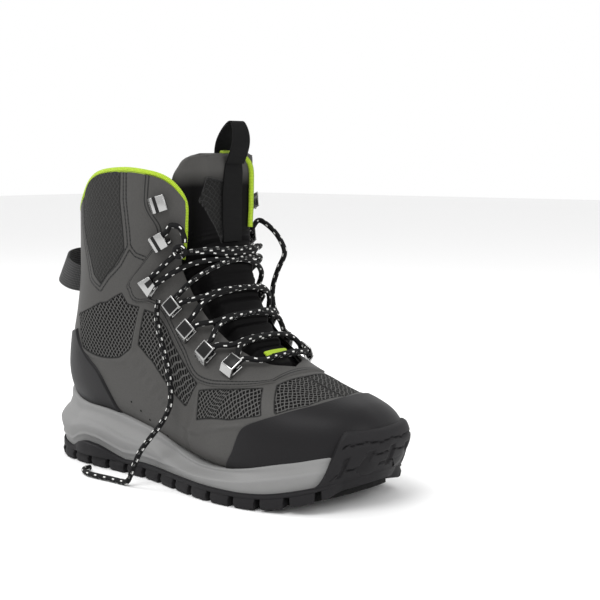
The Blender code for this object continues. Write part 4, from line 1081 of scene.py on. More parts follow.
def build_upper_skin(look):
    rows, turns = upper_grid(int(230 * FINE), int(300 * FINE))
    spots = last_skin(rows, turns)
    side = np.where(turns < 0, -1, 1)
    panels = (MESH_REAR, MESH_FRONT, MESH_SHAFT, MESH_BALL)
    lines = [dense_line(p, s, True) for p in panels for s in (-1, 1)]
    lines.append(dense_line(MESH_VAMP, 1, True))
    far, _ = distances(spots, lines)
    within = np.zeros(rows.shape, bool)
    for p in panels:
        for s in (-1, 1):
            within |= inside(p, rows, turns, s)
    within |= inside(MESH_VAMP, rows, turns, 1)
    mesh = np.where(within, -far, far)
    seam, run = distances(spots, [dense_line(t, s) for t in (SEAM_SHAFT, SEAM_FOLD) for s in (-1, 1)])
    band, _ = distances(spots, [dense_line(t, s) for t in (RIDGE_BAND, RIDGE_RIB) for s in (-1, 1)])
    crease, _ = distances(spots, [dense_line(CREASE, s) for s in (-1, 1)])
    out = -0.45 * MM * np.clip(-mesh / 0.8, 0, 1)
    out += 1.0 * MM * np.exp(-(band / 1.3) ** 2)
    out -= 0.9 * MM * np.exp(-(crease / 1.6) ** 2)
    out -= 0.25 * MM * np.exp(-(np.abs(seam - 1.5) / 0.7) ** 2)
    puff = np.clip((rows - 13.5) / 2.0, 0, 1) * 0.9 * MM
    out += puff * (1 - np.exp(-(seam / 9.0) ** 2)) * (mesh < 0)
    spots = spots + out[..., None] * last_normal(rows, turns)
    sections = lengths(spots, 1)
    u_length = np.minimum(sections, sections[:, -1:] - sections)
    weight = smooth(np.clip((rows - 8.5) / 3.0, 0, 1))
    across = (1 - weight) * u_length + weight * (150 - spots[..., 2] / MM)
    along = spots[..., 0] / MM
    uv = np.stack([along * side, across], -1).reshape(-1, 2)
    columns = rows.shape[1]
    faces = []
    for i, face in enumerate(grid_faces(*rows.shape, False)):
        r, c = divmod(i, columns - 1)
        under_foot = abs(turns[r, c]) > UNDER_TURN * math.pi and rows[r, c] < UNDER_ROW
        if not under_foot:
            faces.append(face)
    made = piece("upper_skin", place(spots.reshape(-1, 3)), faces, look, uv,
                 {"mesh": mesh, "seam": seam, "run": run, "open_net": np.clip((15.6 - rows) / 0.2, 0, 1)})
    shaped = bmesh.new()
    shaped.from_mesh(made.data)
    bmesh.ops.remove_doubles(shaped, verts=shaped.verts, dist=0.00003)
    bmesh.ops.recalc_face_normals(shaped, faces=shaped.faces)
    shaped.to_mesh(made.data)
    shaped.free()
    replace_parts(made, "upper")
    return made


def build_lining(look):
    rows, turns = upper_grid(90, 120, 0.001)
    spots = last_point(rows, turns, -UPPER_WALL)
    uv = np.stack([lengths(spots, 1), lengths(spots, 0)], -1).reshape(-1, 2)
    made = piece("upper_lining", place(spots.reshape(-1, 3)), grid_faces(*rows.shape, False), look,
                 uv)
    return made


def sweep(name, route, look, wide, tall, ways, sides=10):
    """Soft strip of oval section along a route, its width along the given ways."""
    route = np.asarray(route)
    run = np.gradient(route, axis=0)
    run /= np.linalg.norm(run, axis=1, keepdims=True)
    across = ways - run * np.sum(ways * run, axis=1, keepdims=True)
    across /= np.linalg.norm(across, axis=1, keepdims=True)
    other = np.cross(run, across)
    angle = np.arange(sides) * 2 * math.pi / sides
    ring = (np.cos(angle)[None, :, None] * wide * across[:, None] +
            np.sin(angle)[None, :, None] * tall * other[:, None])
    spots = route[:, None] + ring
    length = np.broadcast_to(lengths(route[:, None], 0), spots.shape[:2])
    uv = np.stack([length, np.broadcast_to(angle * 2.5, spots.shape[:2])], -1).reshape(-1, 2)
    faces = grid_faces(len(route), sides, True)
    faces += [tuple(range(sides)), tuple((len(route) - 1) * sides + k for k in range(sides))]
    return faces_out(piece(name, place(spots.reshape(-1, 3)), faces, look, uv))


def softened(route):
    """A route with its bends rounded off."""
    kernel = np.array([1, 2, 3, 2, 1]) / 9
    for _ in range(3):
        padded = np.pad(route, ((2, 2), (0, 0)), mode="edge")
        route = sum(w * padded[k:k + len(route)] for k, w in enumerate(kernel))
    return route


def build_collar_roll(look):
    """Lime lining rolled over the collar and down both front edges of the shaft."""
    share = np.linspace(0, 1, 160)
    top = collar_rows(share)
    rim = last_point(top, around(top, share), -1.6 * MM)
    rim[:, 2] += 1.2 * MM
    normals = last_normal(top, around(top, share))
    down = np.linspace(0.03, 1, 46)[:, None]
    parts = []
    ways = []
    for end in (0, -1):
        start = top[end]
        rows = start + (13.3 - start) * down[:, 0]
        turns = around(rows, np.full(rows.shape, share[end]))
        parts.append(last_point(rows, turns, -1.4 * MM))
        ways.append(last_normal(rows, turns))
    route = np.vstack([parts[0][::-1], rim, parts[1]])
    way = np.vstack([ways[0][::-1], normals, ways[1]])
    route = softened(route)
    return sweep("collar_roll", route, look, 2.0 * MM, 2.5 * MM, way)


def overlay_patch(name, rows, turns, thickness, rounded, look, nodes, seams=True):
    """Raised panel on the upper with rounded edges: rounded names the borders that fall off."""
    spots = last_skin(rows, turns)
    u = lengths(spots, 1)
    v = lengths(spots, 0)
    far = np.full(rows.shape, 99.0)
    if "first" in rounded:
        far = np.minimum(far, v)
    if "last" in rounded:
        far = np.minimum(far, v[-1:] - v)
    if "left" in rounded:
        far = np.minimum(far, u)
    if "right" in rounded:
        far = np.minimum(far, u[:, -1:] - u)
    edge = 1 - np.clip(far / (thickness / MM * 1.1), 0, 1)
    rise = thickness * np.sqrt(np.clip(1 - edge**2, 0, 1))
    spots = spots + (rise - 0.1 * MM)[..., None] * last_normal(rows, turns)
    uv = np.stack([spots[..., 0] / MM, u], -1).reshape(-1, 2)
    data = {"seam": far if seams else np.full(rows.shape, 50.0), "run": np.where(
        v < v[-1:] - v, u, v) if not seams else v}
    made = piece(name, place(spots.reshape(-1, 3)), grid_faces(*rows.shape, False), look, uv,
                 data)
    faces_out(made)
    if nodes:
        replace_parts(made, *nodes)
    return made


def build_toe_cap(look):
    turns = np.linspace(-math.pi * 0.86, math.pi * 0.86, int(160 * FINE))
    edge = hermite(CAP_ROWS, np.abs(turns) / math.pi, 1)
    reach = 1 - (1 - np.linspace(0, 1, int(90 * FINE))) ** 1.6
    rows = CAP_START + (edge[None, :] - CAP_START) * reach[:, None]
    turn_grid = np.broadcast_to(turns, rows.shape)
    return overlay_patch("toe_cap_shell", rows, turn_grid, CAP_THICKNESS, ("last",), look,
                         ["toe_cap"], seams=False)


def build_heel_counter(look):
    spread = 2 * eased(int(150 * FINE), 0.6) - 1
    top = 14.9 + 0.7 * (1 - np.abs(spread) ** 2)
    up = 1 - (1 - np.linspace(0, 1, int(80 * FINE))) ** 1.5
    rows = COUNTER_START + (top - COUNTER_START)[None, :] * up[:, None]
    front = hermite(COUNTER_ROWS, rows, 1)
    turns = math.pi * (1 + spread[None, :] * (1 - front))
    return overlay_patch("heel_cup", rows, turns, COUNTER_THICKNESS, ("last", "left", "right"),
                         look, ["heel_counter"], seams=False)


def plate_turns(rows, across, side):
    """Turns on one side of the lace plate, from the throat edge out to the stitched edge."""
    outer = math.pi * hermite(PLATE_ROWS, rows, 1)
    lateral, medial = throat_turns(rows.ravel())
    inner = (lateral if side < 0 else medial).reshape(rows.shape)
    inner = np.minimum(inner, outer - 0.05)
    return side * (inner + (outer - inner) * across)


def plate_tops(across, side):
    """Last row at which each column of the lace plate meets the collar line."""
    return meet_collar(across.shape, lambda rows: plate_turns(rows, across, side))


def build_lace_plate(look, side):
    """One half of the lace plate, from the throat edge out to its stitched edge."""
    up = np.linspace(0, 1, int(260 * FINE))[:, None]
    across = eased(int(44 * FINE), 0.5)
    rows = PLATE_START + (plate_tops(across, side)[None, :] - PLATE_START) * up
    turns = plate_turns(rows, np.broadcast_to(across, rows.shape), side)
    word = "lateral" if side < 0 else "medial"
    nodes = ["lace_plate"] if side < 0 else []
    return overlay_patch(f"lace_plate_{word}", rows, turns, STAY_THICKNESS, ("first", "right"), look,
                         nodes)


# Tongue


def fine_tongue(rows, spread, out, inward):
    half = SHAFT_WIDTH * hermite(TONGUE_ROWS, rows, 1)
    y = spread[None, :] * half[:, None]
    row_grid = np.broadcast_to(rows[:, None], y.shape)
    turns = turn_at(row_grid.ravel(), y.ravel()).reshape(y.shape)
    base = tongue_out(row_grid, y)
    thick = inward * (1 - 0.55 * np.abs(spread[None, :]) ** 3)
    return last_point(row_grid, turns, base + out - thick), y, row_grid


# Mesh panel on the tongue: last row, y in mm
KITE = ((19.35, -22.0), (19.0, -4.5), (13.6, -9.5), (17.6, -25.0))


def build_tongue(look):
    rows = np.linspace(TONGUE_START, TONGUE_END, int(170 * FINE))
    spread = np.sin(np.linspace(-0.5, 0.5, int(90 * FINE)) * math.pi)
    plain, y, row_grid = fine_tongue(rows, spread, 0.0, 0.0)
    far = np.minimum(lengths(plain, 1), lengths(plain, 1)[:, -1:] - lengths(plain, 1))
    far = np.minimum(far, lengths(plain, 0)[-1:] - lengths(plain, 0))
    drop = 3.0 * MM * (1 - np.sqrt(np.clip(1 - (1 - np.clip(far / 3.4, 0, 1)) ** 2, 0, 1)))
    quilts = np.zeros_like(y)
    for row, *_ in BRACKET_ROWS[:5]:
        quilts += np.exp(-((row_grid - row - 0.35) / 0.10) ** 2)
    groove = 1.2 * MM * np.clip(quilts, 0, 1) * (np.abs(y) < 0.028)
    shape = np.array(KITE)
    hit = np.zeros(y.shape, bool)
    for k in range(len(shape)):
        j = k - 1
        (ra, ya), (rb, yb) = shape[k], shape[j]
        crosses = (ya > y / MM) != (yb > y / MM)
        hit ^= crosses & (row_grid < (rb - ra) * (y / MM - ya) / (yb - ya + 1e-9) + ra)
    edges = []
    for k in range(len(shape)):
        share = np.linspace(0, 1, 120)[:, None]
        line = shape[k - 1] * (1 - share) + shape[k] * share
        spots = last_point(line[:, 0], turn_at(line[:, 0], line[:, 1] * MM),
                           tongue_out(line[:, 0], line[:, 1] * MM))
        edges.append((spots, np.zeros(len(spots))))
    kite, _ = distances(plain, edges)
    mesh = np.where(hit, -kite, kite)
    groove = groove + 0.9 * MM * np.clip(-mesh / 1.0, 0, 1)
    ribs = 0.5 + 0.5 * np.cos(2 * math.pi * row_grid / 0.42)
    groove = groove + 0.7 * MM * ribs * np.clip((15.2 - row_grid) / 0.6, 0, 1)
    top_share = np.clip((row_grid - 18.8) / 1.0, 0, 1) * np.clip(mesh / 1.5, 0, 1)
    outer, _, _ = fine_tongue(rows, spread, -(drop + groove), 0.0)
    inner, _, _ = fine_tongue(rows, spread, 0.0, TONGUE_THICKNESS)
    inner_drop = drop[..., None] * (outer - inner) / np.linalg.norm(outer - inner, axis=-1,
                                                                   keepdims=True)
    verts, faces = slab(inner + 0.4 * inner_drop, outer)
    uv = np.stack([y / MM, lengths(plain, 0)], -1).reshape(-1, 2)
    count = len(uv)
    made = piece("tongue_pad", place(verts), faces, look,
                 np.vstack([uv, uv]),
                 {"open_net": np.zeros(2 * count),
                  "grey_top": np.tile(top_share.ravel(), 2),
                  "mesh": np.concatenate([np.full(count, 9.0), mesh.ravel()]),
                  "seam": np.concatenate([np.full(count, 50.0), (kite + 1.2).ravel()]),
                  "run": np.zeros(2 * count)})
    faces_out(made)
    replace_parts(made, "tongue")
    return made


def build_tongue_edge(look):
    """Lime lining of the tongue, which shows behind its top edge and down its inner side."""
    spread = np.linspace(-0.30, 0.46, 40)
    top = fine_tongue(np.array([20.50]), spread, 0.0, 0.6 * TONGUE_THICKNESS)[0][0]
    top[:, 2] += 0.6 * MM
    rows = np.linspace(20.3, 14.8, 60)
    side = np.array([fine_tongue(np.array([row]), np.array([0.46]), 1.2 * MM, 0.0)[0][0, 0]
                     for row in rows])
    route = np.vstack([top, side])
    route = softened(route)
    ways = np.tile((1.0, 0.0, 0.3), (len(route), 1))
    return sweep("tongue_edge", route, look, 1.8 * MM, 2.2 * MM, ways, 8)


def band(name, inner, outer, look, slot, nodes):
    """Flat strip between two grids of points, with its lengths as texture place."""
    verts, faces = slab(inner, outer)
    uv = np.stack([lengths(outer, 1), lengths(outer, 0)], -1).reshape(-1, 2)
    made = faces_out(piece(name, place(verts), faces, look, np.vstack([uv, uv]), sharp=40))
    edge = made.modifiers.new("edge", "BEVEL")
    edge.width = 0.0003
    edge.segments = 2
    edge.limit_method = "ANGLE"
    if nodes:
        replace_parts(made, *nodes)
    return made


def build_webbing(look, lime):
    rows = np.linspace(13.6, 20.1, 60)
    spread = np.linspace(-0.225, 0.225, 9)
    low, _, _ = fine_tongue(rows, spread, 0.2 * MM, 0.0)
    high, _, _ = fine_tongue(rows, spread, 1.4 * MM, 0.0)
    band("tongue_webbing", low, high, look, "webbing", ["tongue_web"])
    rows = np.linspace(6.83, 7.17, 6)
    spread = np.linspace(-0.4, 0.4, 21)
    low, _, _ = fine_tongue(rows, spread, 0.2 * MM, 0.0)
    crown = 1.6 * MM * (1 - spread**2 * 3)
    high, _, _ = fine_tongue(rows, spread, 1.0 * MM + crown[None, :] * 0.5, 0.0)
    band("keeper_tab", low, high, lime, "bright_tab", ["lace_keeper"])


def build_pull_loop(look):
    front = fine_tongue(np.array([20.1]), np.array([0.0]), 2 * FIT + WEB_THICKNESS, 0.0)[0][0, 0]
    back = fine_tongue(np.array([20.1]), np.array([0.0]), -2 * FIT - WEB_THICKNESS,
                       TONGUE_THICKNESS)[0][0, 0]
    rise = np.sin(np.linspace(0, 1, 30) * math.pi / 2)
    belly = (front[0] - back[0]) / 2 + 3.0 * MM * np.sin(np.pi * rise)
    reach = belly * np.sqrt(np.clip(1 - rise**4, 0, 1))
    middle = (front[0] + back[0]) / 2
    z = front[2] + rise * LOOP_HEIGHT
    path = np.array([(middle + r, h) for r, h in zip(reach, z)] +
                    [(middle - r, h) for r, h in zip(reach[-2::-1], z[-2::-1])])
    path[:, 0] += LOOP_LEAN * (path[:, 1] - front[2]) / LOOP_HEIGHT
    run = np.gradient(path, axis=0)
    run /= np.linalg.norm(run, axis=1, keepdims=True)
    side = np.stack([run[:, 1], -run[:, 0]], -1) * WEB_THICKNESS / 2
    narrow = 1 - 0.25 * ((path[:, 1] - front[2]) / LOOP_HEIGHT) ** 3
    across = np.linspace(-1, 1, 9)

    def sheet(sign):
        spots = path + sign * side
        wide = LOOP_WIDTH / 2 * narrow
        return np.array([[(x, w * a, h) for a in across] for (x, h), w in zip(spots, wide)])

    band("webbing_loop", sheet(-1), sheet(1), look, "webbing", ["pull_loop"])


def build_heel_strap(look):
    half = np.array(STRAP_ROWS) * (LENGTH, SHAFT_WIDTH, COLLAR_HEIGHT)
    rows = np.vstack([half, half[-2::-1] * (1, -1, 1)])
    line = catmull(rows, np.linspace(0, len(rows) - 1, 90))
    run = np.gradient(line[:, :2], axis=0)
    run /= np.linalg.norm(run, axis=1, keepdims=True)
    out = np.stack([-run[:, 1], run[:, 0]], -1)
    away = line[:, :2] - (0.10 * LENGTH, 0)
    out = out * np.sign(np.sum(out * away, axis=1, keepdims=True))

    def sheet(offset):
        low = np.column_stack([line[:, :2] + out * offset, line[:, 2]])
        lean = np.column_stack([-0.35 * out * STRAP_HEIGHT,
                                np.full(len(line), 0.94 * STRAP_HEIGHT)])
        return low[:, None] + lean[:, None] * np.linspace(0, 1, 9)[None, :, None]

    band("heel_handle", sheet(0.0), sheet(STRAP_THICKNESS), look, "webbing", ["heel_strap"])


# Laces


def smooth_route(points, spacing=1.1 * MM):
    points = np.array(points)
    fine = catmull(points, np.linspace(0, len(points) - 1, 40 * len(points)))
    run = np.concatenate([[0], np.cumsum(np.linalg.norm(np.diff(fine, axis=0), axis=1))])
    at = np.linspace(0, run[-1], int(run[-1] / spacing) + 2)
    return np.stack([np.interp(at, run, fine[:, k]) for k in range(3)], -1)


def lace_piece(name, points, look, nodes):
    """Round lace as a fine tube whose texture place is its length and its turn."""
    route = smooth_route(points, 1.1 * MM / FINE)
    sides = 12
    verts, faces = tube(route, LACE_WIDTH / 2, sides)
    length = np.repeat(lengths(route[:, None], 0)[:, 0], sides)
    turn = np.tile(np.arange(sides) / sides, len(route))
    made = piece(name, place(verts), faces, look, np.stack([length, turn], -1))
    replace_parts(made, *nodes)
    return faces_out(made), route


def build_laces(look):
    for side, word, nodes in ((-1, "lateral", ["lace_crossings"]), (1, "medial", [])):
        lace_piece(f"lace_rows_{word}", lace_strand(side, 0.0009 * (side > 0)), look, nodes)
    knot, _ = lace_piece("lace_knot_coil", knot_points(), look, ["lace_knot"])
    loops = {
        "lace_tail": (route_points(LACE_END_ROWS), ["lace_end"], "bare", "hanging"),
        "lace_bow_lateral": (lace_in_hook(5, -1) + route_points(LOOP_LATERAL_ROWS),
                             ["lace_loop_lateral"], "knot", "loose"),
        "lace_bow_medial": (lace_in_hook(5, 1)[1:] + route_points(LOOP_MEDIAL_ROWS),
                            ["lace_loop_medial"], "object", "hanging"),
    }
    for name, (points, nodes, far_end, lay) in loops.items():
        made, route = lace_piece(name, points, look, nodes)


# Sole


# Top edge of the rubber on the lateral heel above its plain lip: x in LENGTH, rise in LUG_HEIGHT
PANEL_EDGE = (
    (-0.060, 0.00),
    (0.020, -0.05),
    (0.085, -0.42),
    (0.120, 0.35),
    (0.150, 0.66),
    (0.200, 0.58),
    (0.260, 0.05),
    (0.300, -0.20),
    (0.360, 0.00),
    (1.100, 0.00),
)


# Upright grooves of the toe bumper: place in BUMPER_REACH, slant, lower and upper end in its height
BUMPER_GROOVES = (
    (0.0, 0.0, 0.12, 0.62),
    (-0.34, 0.20, 0.10, 0.58),
    (0.34, -0.20, 0.10, 0.58),
    (-0.62, 0.30, 0.08, 0.50),
    (0.62, -0.30, 0.08, 0.50),
)

# Level grooves of the toe bumper: height in its height, half reach in BUMPER_REACH
BUMPER_BARS = ((0.20, 0.80), (0.46, 0.30), (0.72, 0.62))


def panel_rise(points):
    """How far the rubber climbs the midsole on the lateral heel."""
    rise = np.interp(points[:, 0] / LENGTH, *np.array(PANEL_EDGE).T)
    return LUG_HEIGHT * rise * np.clip(-points[:, 1] / 0.020, 0, 1)


def sole_profile(shares):
    points, normals = outline(shares)
    x = points[:, 0] / LENGTH
    side = np.clip(points[:, 1] / (0.2 * SOLE_WIDTH), -1, 1) / 2 + 0.5
    lateral = hermite(MIDSOLE_ROWS, x, 1)
    medial = hermite(MIDSOLE_ROWS, x, 2)
    rim = HEEL_SEAT * (lateral + (medial - lateral) * side)
    return points, normals, x, rim


def ring_blur(values, passes=3):
    for _ in range(passes):
        values = (np.roll(values, 1) + 2 * values + np.roll(values, -1)) / 4
    return values


def build_midsole(look):
    """Foam midsole with its rolled rim, a step line and sculpted sides."""
    count = int(360 * FINE)
    shares = np.arange(count) / count
    points, normals, x, rim = sole_profile(shares)
    foot = RIM_WALL * hermite(MIDSOLE_ROWS, x, 3)
    belly = RIM_WALL * hermite(MIDSOLE_ROWS, x, 4)
    wall = RIM_WALL * hermite(MIDSOLE_ROWS, x, 5)
    base = tread_top(points[:, 0]) + RAND_LIP - 0.0006 + panel_rise(points)
    top = depth_of_last(points, normals, rim)
    neck = rim - 0.16 * (rim - base)
    rim_out = ring_blur(np.maximum(wall - top, -0.010), 6)
    neck_out = ring_blur(np.maximum(wall * 1.25 - depth_of_last(points, normals, neck), rim_out), 6)
    knots = np.array([0.0, 0.45, 0.84, 1.0])
    levels = np.linspace(0, 1, int(44 * FINE))
    controls = np.stack([foot, belly, neck_out, rim_out])
    rings = []
    for level in levels:
        k = min(int(np.searchsorted(knots, level, side="right")) - 1, 2)
        t = smooth((level - knots[k]) / (knots[k + 1] - knots[k]))
        out = controls[k] * (1 - t) + controls[k + 1] * t
        round_off = 0.9 * MM * (1 - math.sqrt(max(0.0, 1 - max(0.0, (level - 0.93) / 0.07) ** 2)))
        heel = np.clip((0.46 - x) / 0.25, 0, 1)
        crease = np.exp(-((level - 0.62 + 0.5 * (x - 0.1)) / 0.045) ** 2) * heel
        step = 0.9 * MM / (1 + np.exp(-(level - 0.56) / 0.012)) * np.clip((x - 0.5) / 0.1, 0, 1)
        height = base + level * (rim - base)
        over_panel = height - (base + 0.0060)
        ridge = np.exp(-(over_panel / 0.0011) ** 2) * np.clip((0.52 - x) / 0.06, 0, 1)
        out = out - round_off - 0.9 * MM * crease - step * np.clip((0.93 - x) / 0.06, 0, 1)
        out = out + 0.9 * MM * ridge - 0.015 * np.clip(2 * bumper_lift(shares) - 1, 0, 1)
        rings.append(np.column_stack([points + normals * out[:, None], base + level * (rim - base)]))
    inward = np.minimum(-top, rim_out) - 0.004
    rings.append(np.column_stack([points + normals * inward[:, None], rim]))
    verts = np.vstack(rings)
    run = lengths(np.array(rings), 1).reshape(-1)
    uv = np.column_stack([run, verts[:, 2] / MM])
    made = piece("midsole_foam", place(verts), grid_faces(len(rings), count, True), look,
                 uv)
    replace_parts(faces_out(made), "midsole")


def lug_share_list():
    """Shares of the outline at the lug edges with small bevels, and how far each stands up."""
    fine = np.linspace(0, 1, 1201)
    points = outline(fine)[0]
    run = np.concatenate([[0], np.cumsum(np.linalg.norm(np.diff(points, axis=0), axis=1))])
    count = round(run[-1] / LUG_PITCH)
    pitch = run[-1] / count
    shares = []
    up = []
    for i in range(count):
        start = i * pitch + LUG_GAP / 2
        end = (i + 1) * pitch - LUG_GAP / 2
        for place_, high in ((start - 0.0004, 0), (start + 0.0002, 0.85), (start + 0.0010, 1),
                             ((2 * start + end) / 3, 1), ((start + 2 * end) / 3, 1),
                             (end - 0.0010, 1), (end - 0.0002, 0.85), (end + 0.0004, 0)):
            share = np.interp(place_, run, fine)
            shares.append(share)
            up.append(max(high, float(abs(share - 0.5) < BUMPER_REACH - BUMPER_SLANT / 2)))
    fine = np.arange(0.5 - BUMPER_REACH, 0.5 + BUMPER_REACH, 0.0012 / FINE)
    every = np.unique(np.concatenate([shares, fine]))
    return every, np.interp(every, shares, up)


def build_outsole(look):
    """Rubber rand with lugs, heel panel and a toe bumper with slanted grooves."""
    shares, up = lug_share_list()
    points, normals, _, _ = sole_profile(shares)
    floor = ground(points[:, 0])
    joint = tread_top(points[:, 0])
    foot = floor + (1 - up) * LUG_HEIGHT
    lift = smooth(bumper_lift(shares))
    lip = joint + RAND_LIP + panel_rise(points)
    peak = lip + lift * (BUMPER_TOP * INSTEP_HEIGHT - lip)
    over = BUMPER_WALL + CAP_THICKNESS + FIT

    def ring(outward, z):
        return np.column_stack([points + normals * np.asarray(outward)[:, None], z])

    ones = np.ones_like(floor)
    panel = np.clip(panel_rise(points) / (0.6 * LUG_HEIGHT), 0, 1)
    chunk = 0.0016 * up * (1 - lift)
    side_foot = floor + 0.6 * LUG_HEIGHT * np.maximum(1.66 * (1 - up), 1)
    rings = [ring(-LUG_REACH * ones, joint), ring(-LUG_REACH * ones, foot),
             ring(-0.0022 - 1.75 * TOE_ROUND * lift + chunk, foot),
             ring(-0.0006 - 1.75 * TOE_ROUND * lift + chunk, foot + 0.0009 * up),
             ring(0.0002 - 1.55 * TOE_ROUND * lift + chunk, side_foot),
             ring(0.0002 - 1.4 * TOE_ROUND * lift + 0.3 * chunk, floor + LUG_HEIGHT),
             ring(0.0012 + 0.0022 * panel - 0.0082 * lift, floor + LUG_HEIGHT + 0.0008),
             ring(0.0012 + 0.0030 * panel - 0.0076 * lift, lip - 0.0012),
             ring(0.0006 + 0.0030 * panel - 0.0070 * lift, lip - 0.0003)]
    toe = (shares % 1.0 - 0.5) / BUMPER_REACH
    for level in np.linspace(0.06, 1.0, int(34 * FINE)):
        z = lip + level * (peak - lip)
        depth = depth_of_last(points, normals, np.maximum(z, 1.2 * HEEL_SEAT))
        lean = over - depth
        blend = np.clip((z - 1.05 * HEEL_SEAT) / 0.012, 0, 1)
        out = 0.0008 + 0.0024 * panel * (1 - lift) + blend * (lean - 0.0008)
        round_off = 0.0018 * np.clip((level - 0.93) / 0.07, 0, 1) ** 2
        grooves = np.zeros_like(out)
        for at, slant, low, high in BUMPER_GROOVES:
            line = np.abs(toe - at - slant * (level - 0.3))
            within = np.clip((level - low) / 0.04, 0, 1) * np.clip((high - level) / 0.04, 0, 1)
            grooves = np.maximum(grooves, np.clip((0.050 - line) / 0.02, 0, 1) * within)
        for bar, reach in BUMPER_BARS:
            wave = bar + 0.045 * np.abs((toe * 6.0) % 2.0 - 1.0)
            grooves = np.maximum(grooves, np.exp(-((level - wave) / 0.020) ** 2) * (np.abs(toe) < reach))
        under = 0.0070 * lift * np.clip(1 - level / 0.60, 0, 1) ** 2
        out = out - round_off - under - 0.0017 * grooves * lift
        rings.append(ring(out, z))
    rings.append(ring(np.minimum(out, 0.0) - 0.005, peak))
    verts = np.vstack(rings)
    count = len(shares)
    made = piece("outsole_rubber", place(verts), grid_faces(len(rings), count, True), look,
                 sharp=42)
    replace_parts(faces_out(made), "outsole")


# Hooks


def box_mesh(corners):
    """Verts and faces of a box from its eight corners, bottom four first."""
    faces = [(0, 1, 2, 3), (4, 7, 6, 5), (0, 4, 5, 1), (1, 5, 6, 2), (2, 6, 7, 3), (3, 7, 4, 0)]
    return list(corners), faces


def build_hook_detail(name, row, turn, outer_width, inner_width, look, dark):
    """Bent hook: base, bright slanted back, dark roof inside a raised bright rim."""
    spot, inward, along, out = seat(row, turn)
    base = STAY_THICKNESS
    floor = base + 2 * FIT + PLATE_METAL
    roof = floor + HOOK_ROOM
    back = -HOOK_REACH / 2
    front = HOOK_REACH / 2

    def at(u, n, sign):
        share = (u - back) / HOOK_REACH
        half = HOOK_WIDTH / 2 * (outer_width + (inner_width - outer_width) * share)
        return spot + inward * u + along * sign * half + out * n

    profile = [(back, base - 0.002), (front - 0.002, base - 0.002), (front - 0.002, floor),
               (back + 0.0030, floor), (back + 0.0046, roof - 0.0004), (front, roof + 0.0003),
               (front, roof + PLATE_METAL + 0.0003), (back + 0.0038, roof + PLATE_METAL),
               (back, floor + 0.0006)]
    verts = [at(u, n, sign) for sign in (-1, 1) for u, n in profile]
    count = len(profile)
    faces = [tuple(range(count)), tuple(range(2 * count - 1, count - 1, -1))]
    faces += [(i, (i + 1) % count, (i + 1) % count + count, i + count) for i in range(count)]
    made = faces_out(piece(name + "_metal", place(verts), faces, look))
    edge = made.modifiers.new("edge", "BEVEL")
    edge.width = 0.00045
    edge.segments = 2
    edge.limit_method = "ANGLE"
    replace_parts(made, name)
    top = roof + PLATE_METAL
    low_u, high_u, wide = back + 0.0046, front - 0.0010, 0.84
    if name.startswith("hook"):
        low_u, high_u, wide = back + 0.0058, back + 0.0084, 1.03
    if name.startswith("ankle"):
        low_u, high_u, wide = back + 0.0085, front + 0.0004, 0.42
    corners = []
    for n in (top - 0.0002, top + 0.00045):
        for u, sign in ((low_u, -wide), (high_u, -wide), (high_u, wide), (low_u, wide)):
            lift = 0.0003 * (u - back - 0.0038) / (HOOK_REACH - 0.0038)
            corners.append(at(u, n + lift, sign))
    inlay = faces_out(piece(name + "_inlay", place(corners), box_mesh(corners)[1], dark))
    edge = inlay.modifiers.new("edge", "BEVEL")
    edge.width = 0.0004
    edge.segments = 2


def build_hooks(look, dark):
    for word, sign in (("lateral", -1), ("medial", 1)):
        for i, (row, turn, outer, inner) in enumerate(BRACKET_ROWS):
            if i < 4:
                name = f"bracket_{word}_{i + 1}"
            elif i == 4:
                name = f"ankle_lock_{word}"
            else:
                name = f"hook_{word}_{i - 4}"
            build_hook_detail(name, row, sign * turn * math.pi, outer, inner, look, dark)


def build_pinholes(look):
    """Row of small punched holes low on each side of the quarter, drawn as flat near-black discs: painted
    shade of the holes.
    """
    angles = np.linspace(0, 2 * math.pi, 12, endpoint=False)
    for word, sign in (("lateral", -1), ("medial", 1)):
        verts = []
        faces = []
        for row, turn in PINHOLES:
            spot, inward, along, out = seat(row, sign * turn * math.pi)
            middle = spot + out * 0.0002
            start = len(verts)
            verts += [middle + 0.0009 * (math.cos(a) * inward + math.sin(a) * along) for a in angles]
            faces.append(tuple(range(start, start + len(angles))))
        piece(f"pinholes_{word}", place(verts), faces, look)


# Studio


def area_light(name, place_, target, size, power, colour=(1, 1, 1)):
    data = bpy.data.lights.new(name, "AREA")
    data.shape = "RECTANGLE"
    data.size, data.size_y = size
    data.energy = power
    data.color = colour
    light = bpy.data.objects.new(name, data)
    bpy.context.collection.objects.link(light)
    light.location = place_
    aim = Vector(target) - Vector(place_)
    light.rotation_euler = aim.to_track_quat("-Z", "Y").to_euler()


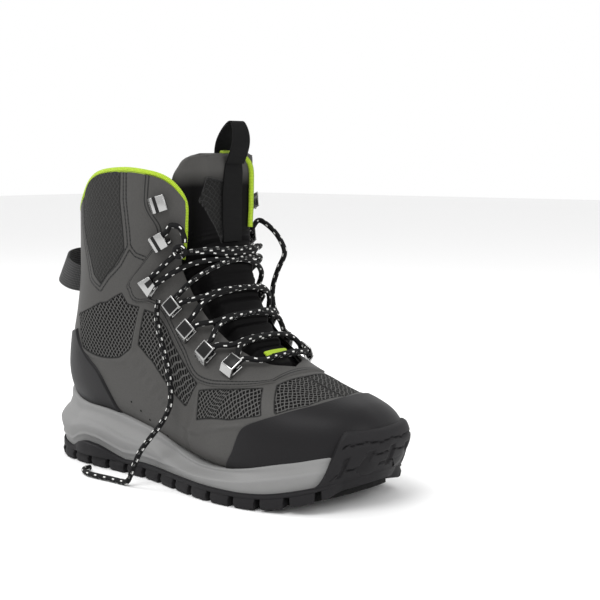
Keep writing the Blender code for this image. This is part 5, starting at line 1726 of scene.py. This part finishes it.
def build_studio():
    floor = bpy.data.meshes.new("floor")
    wide = 6.0
    floor.from_pydata([(-wide, -wide, 0), (wide, -wide, 0), (wide, wide, 0), (-wide, wide, 0)], [],
                      [(0, 1, 2, 3)])
    ground_object = bpy.data.objects.new("floor", floor)
    bpy.context.collection.objects.link(ground_object)
    pale = Shader("floor_paper", (0.88, 0.88, 0.88), 0.9)
    floor.materials.append(pale.material)
    bpy.context.scene.view_settings.view_transform = "Standard"
    world = bpy.data.worlds.new("studio")
    bpy.context.scene.world = world
    world.use_nodes = True
    world.node_tree.nodes["Background"].inputs[0].default_value = (1.0, 1.0, 1.0, 1)
    world.node_tree.nodes["Background"].inputs[1].default_value = WORLD_LIGHT
    area_light("key", (0.2, -1.0, 1.7), (0, 0, 0.1), (1.0, 0.8), 16)
    area_light("rim", (-1.2, -0.2, 1.2), (0, 0, 0.12), (0.5, 1.0), 9)
    area_light("front", (1.5, 0.1, 0.8), (0, 0, 0.1), (0.6, 0.6), 5)


make_camera()
lace_look = lace_material()
build_laces(lace_look)
skin_look = skin_material()
plate_look = plate_material()
cap_look = grained("moulded", MOULDED, 0.46, 700.0, 0.00012)
rubber_look = grained("rubber_matt", (0.0130, 0.0124, 0.0134), 0.60, 900.0, 0.00015)
foam_look = grained("foam", (0.205, 0.205, 0.203), 0.60, 1400.0, 0.00015)
felt_look = grained("felt_fibres", (0.010, 0.010, 0.010), 0.95, 1500.0, 0.0006)
lining_look = grained("lining_knit", (0.020, 0.020, 0.020), 0.90, 1200.0, 0.0004)
web_look = woven("webbing_black", (0.0035, 0.0035, 0.0037), 1.1, 0.0)
handle_look = woven("webbing_grey", (0.030, 0.030, 0.030), 1.8)
lime_look = woven("lime_knit", LIME, 1.1)
steel = Shader("steel_plated", (0.40, 0.40, 0.395), 0.24, 1.0)
dark_look = grained("hook_inlay", (0.012, 0.012, 0.012), 0.35, 700.0, 0.00005)
# Near-black discs for the pinholes: painted shade in place of the holes.
hole_shade_look = grained("painted_hole_shade", (0.003, 0.003, 0.003), 0.80, 700.0, 0.00005)

build_upper_skin(skin_look)
build_lining(lining_look)
build_collar_roll(lime_look)
build_toe_cap(cap_look)
build_heel_counter(cap_look)
for half in (-1, 1):
    build_lace_plate(plate_look, half)
tongue_look = skin_material("tongue_skin", TONGUE_BLACK, (0.050, 0.050, 0.049))
tongue_look.node_tree.nodes["Principled BSDF"].inputs["Specular IOR Level"].default_value = 0.05
build_tongue(tongue_look)
build_tongue_edge(lime_look)
build_webbing(web_look, lime_look)
build_pull_loop(web_look)
build_heel_strap(handle_look)
build_midsole(foam_look)
build_outsole(rubber_look)
build_hooks(steel.material, dark_look)
build_pinholes(hole_shade_look)
for node, look in (("felt_pad", felt_look), ("insole", lining_look)):
    for slot_ in frame["nodes"][node].material_slots:
        slot_.material = look
build_studio()
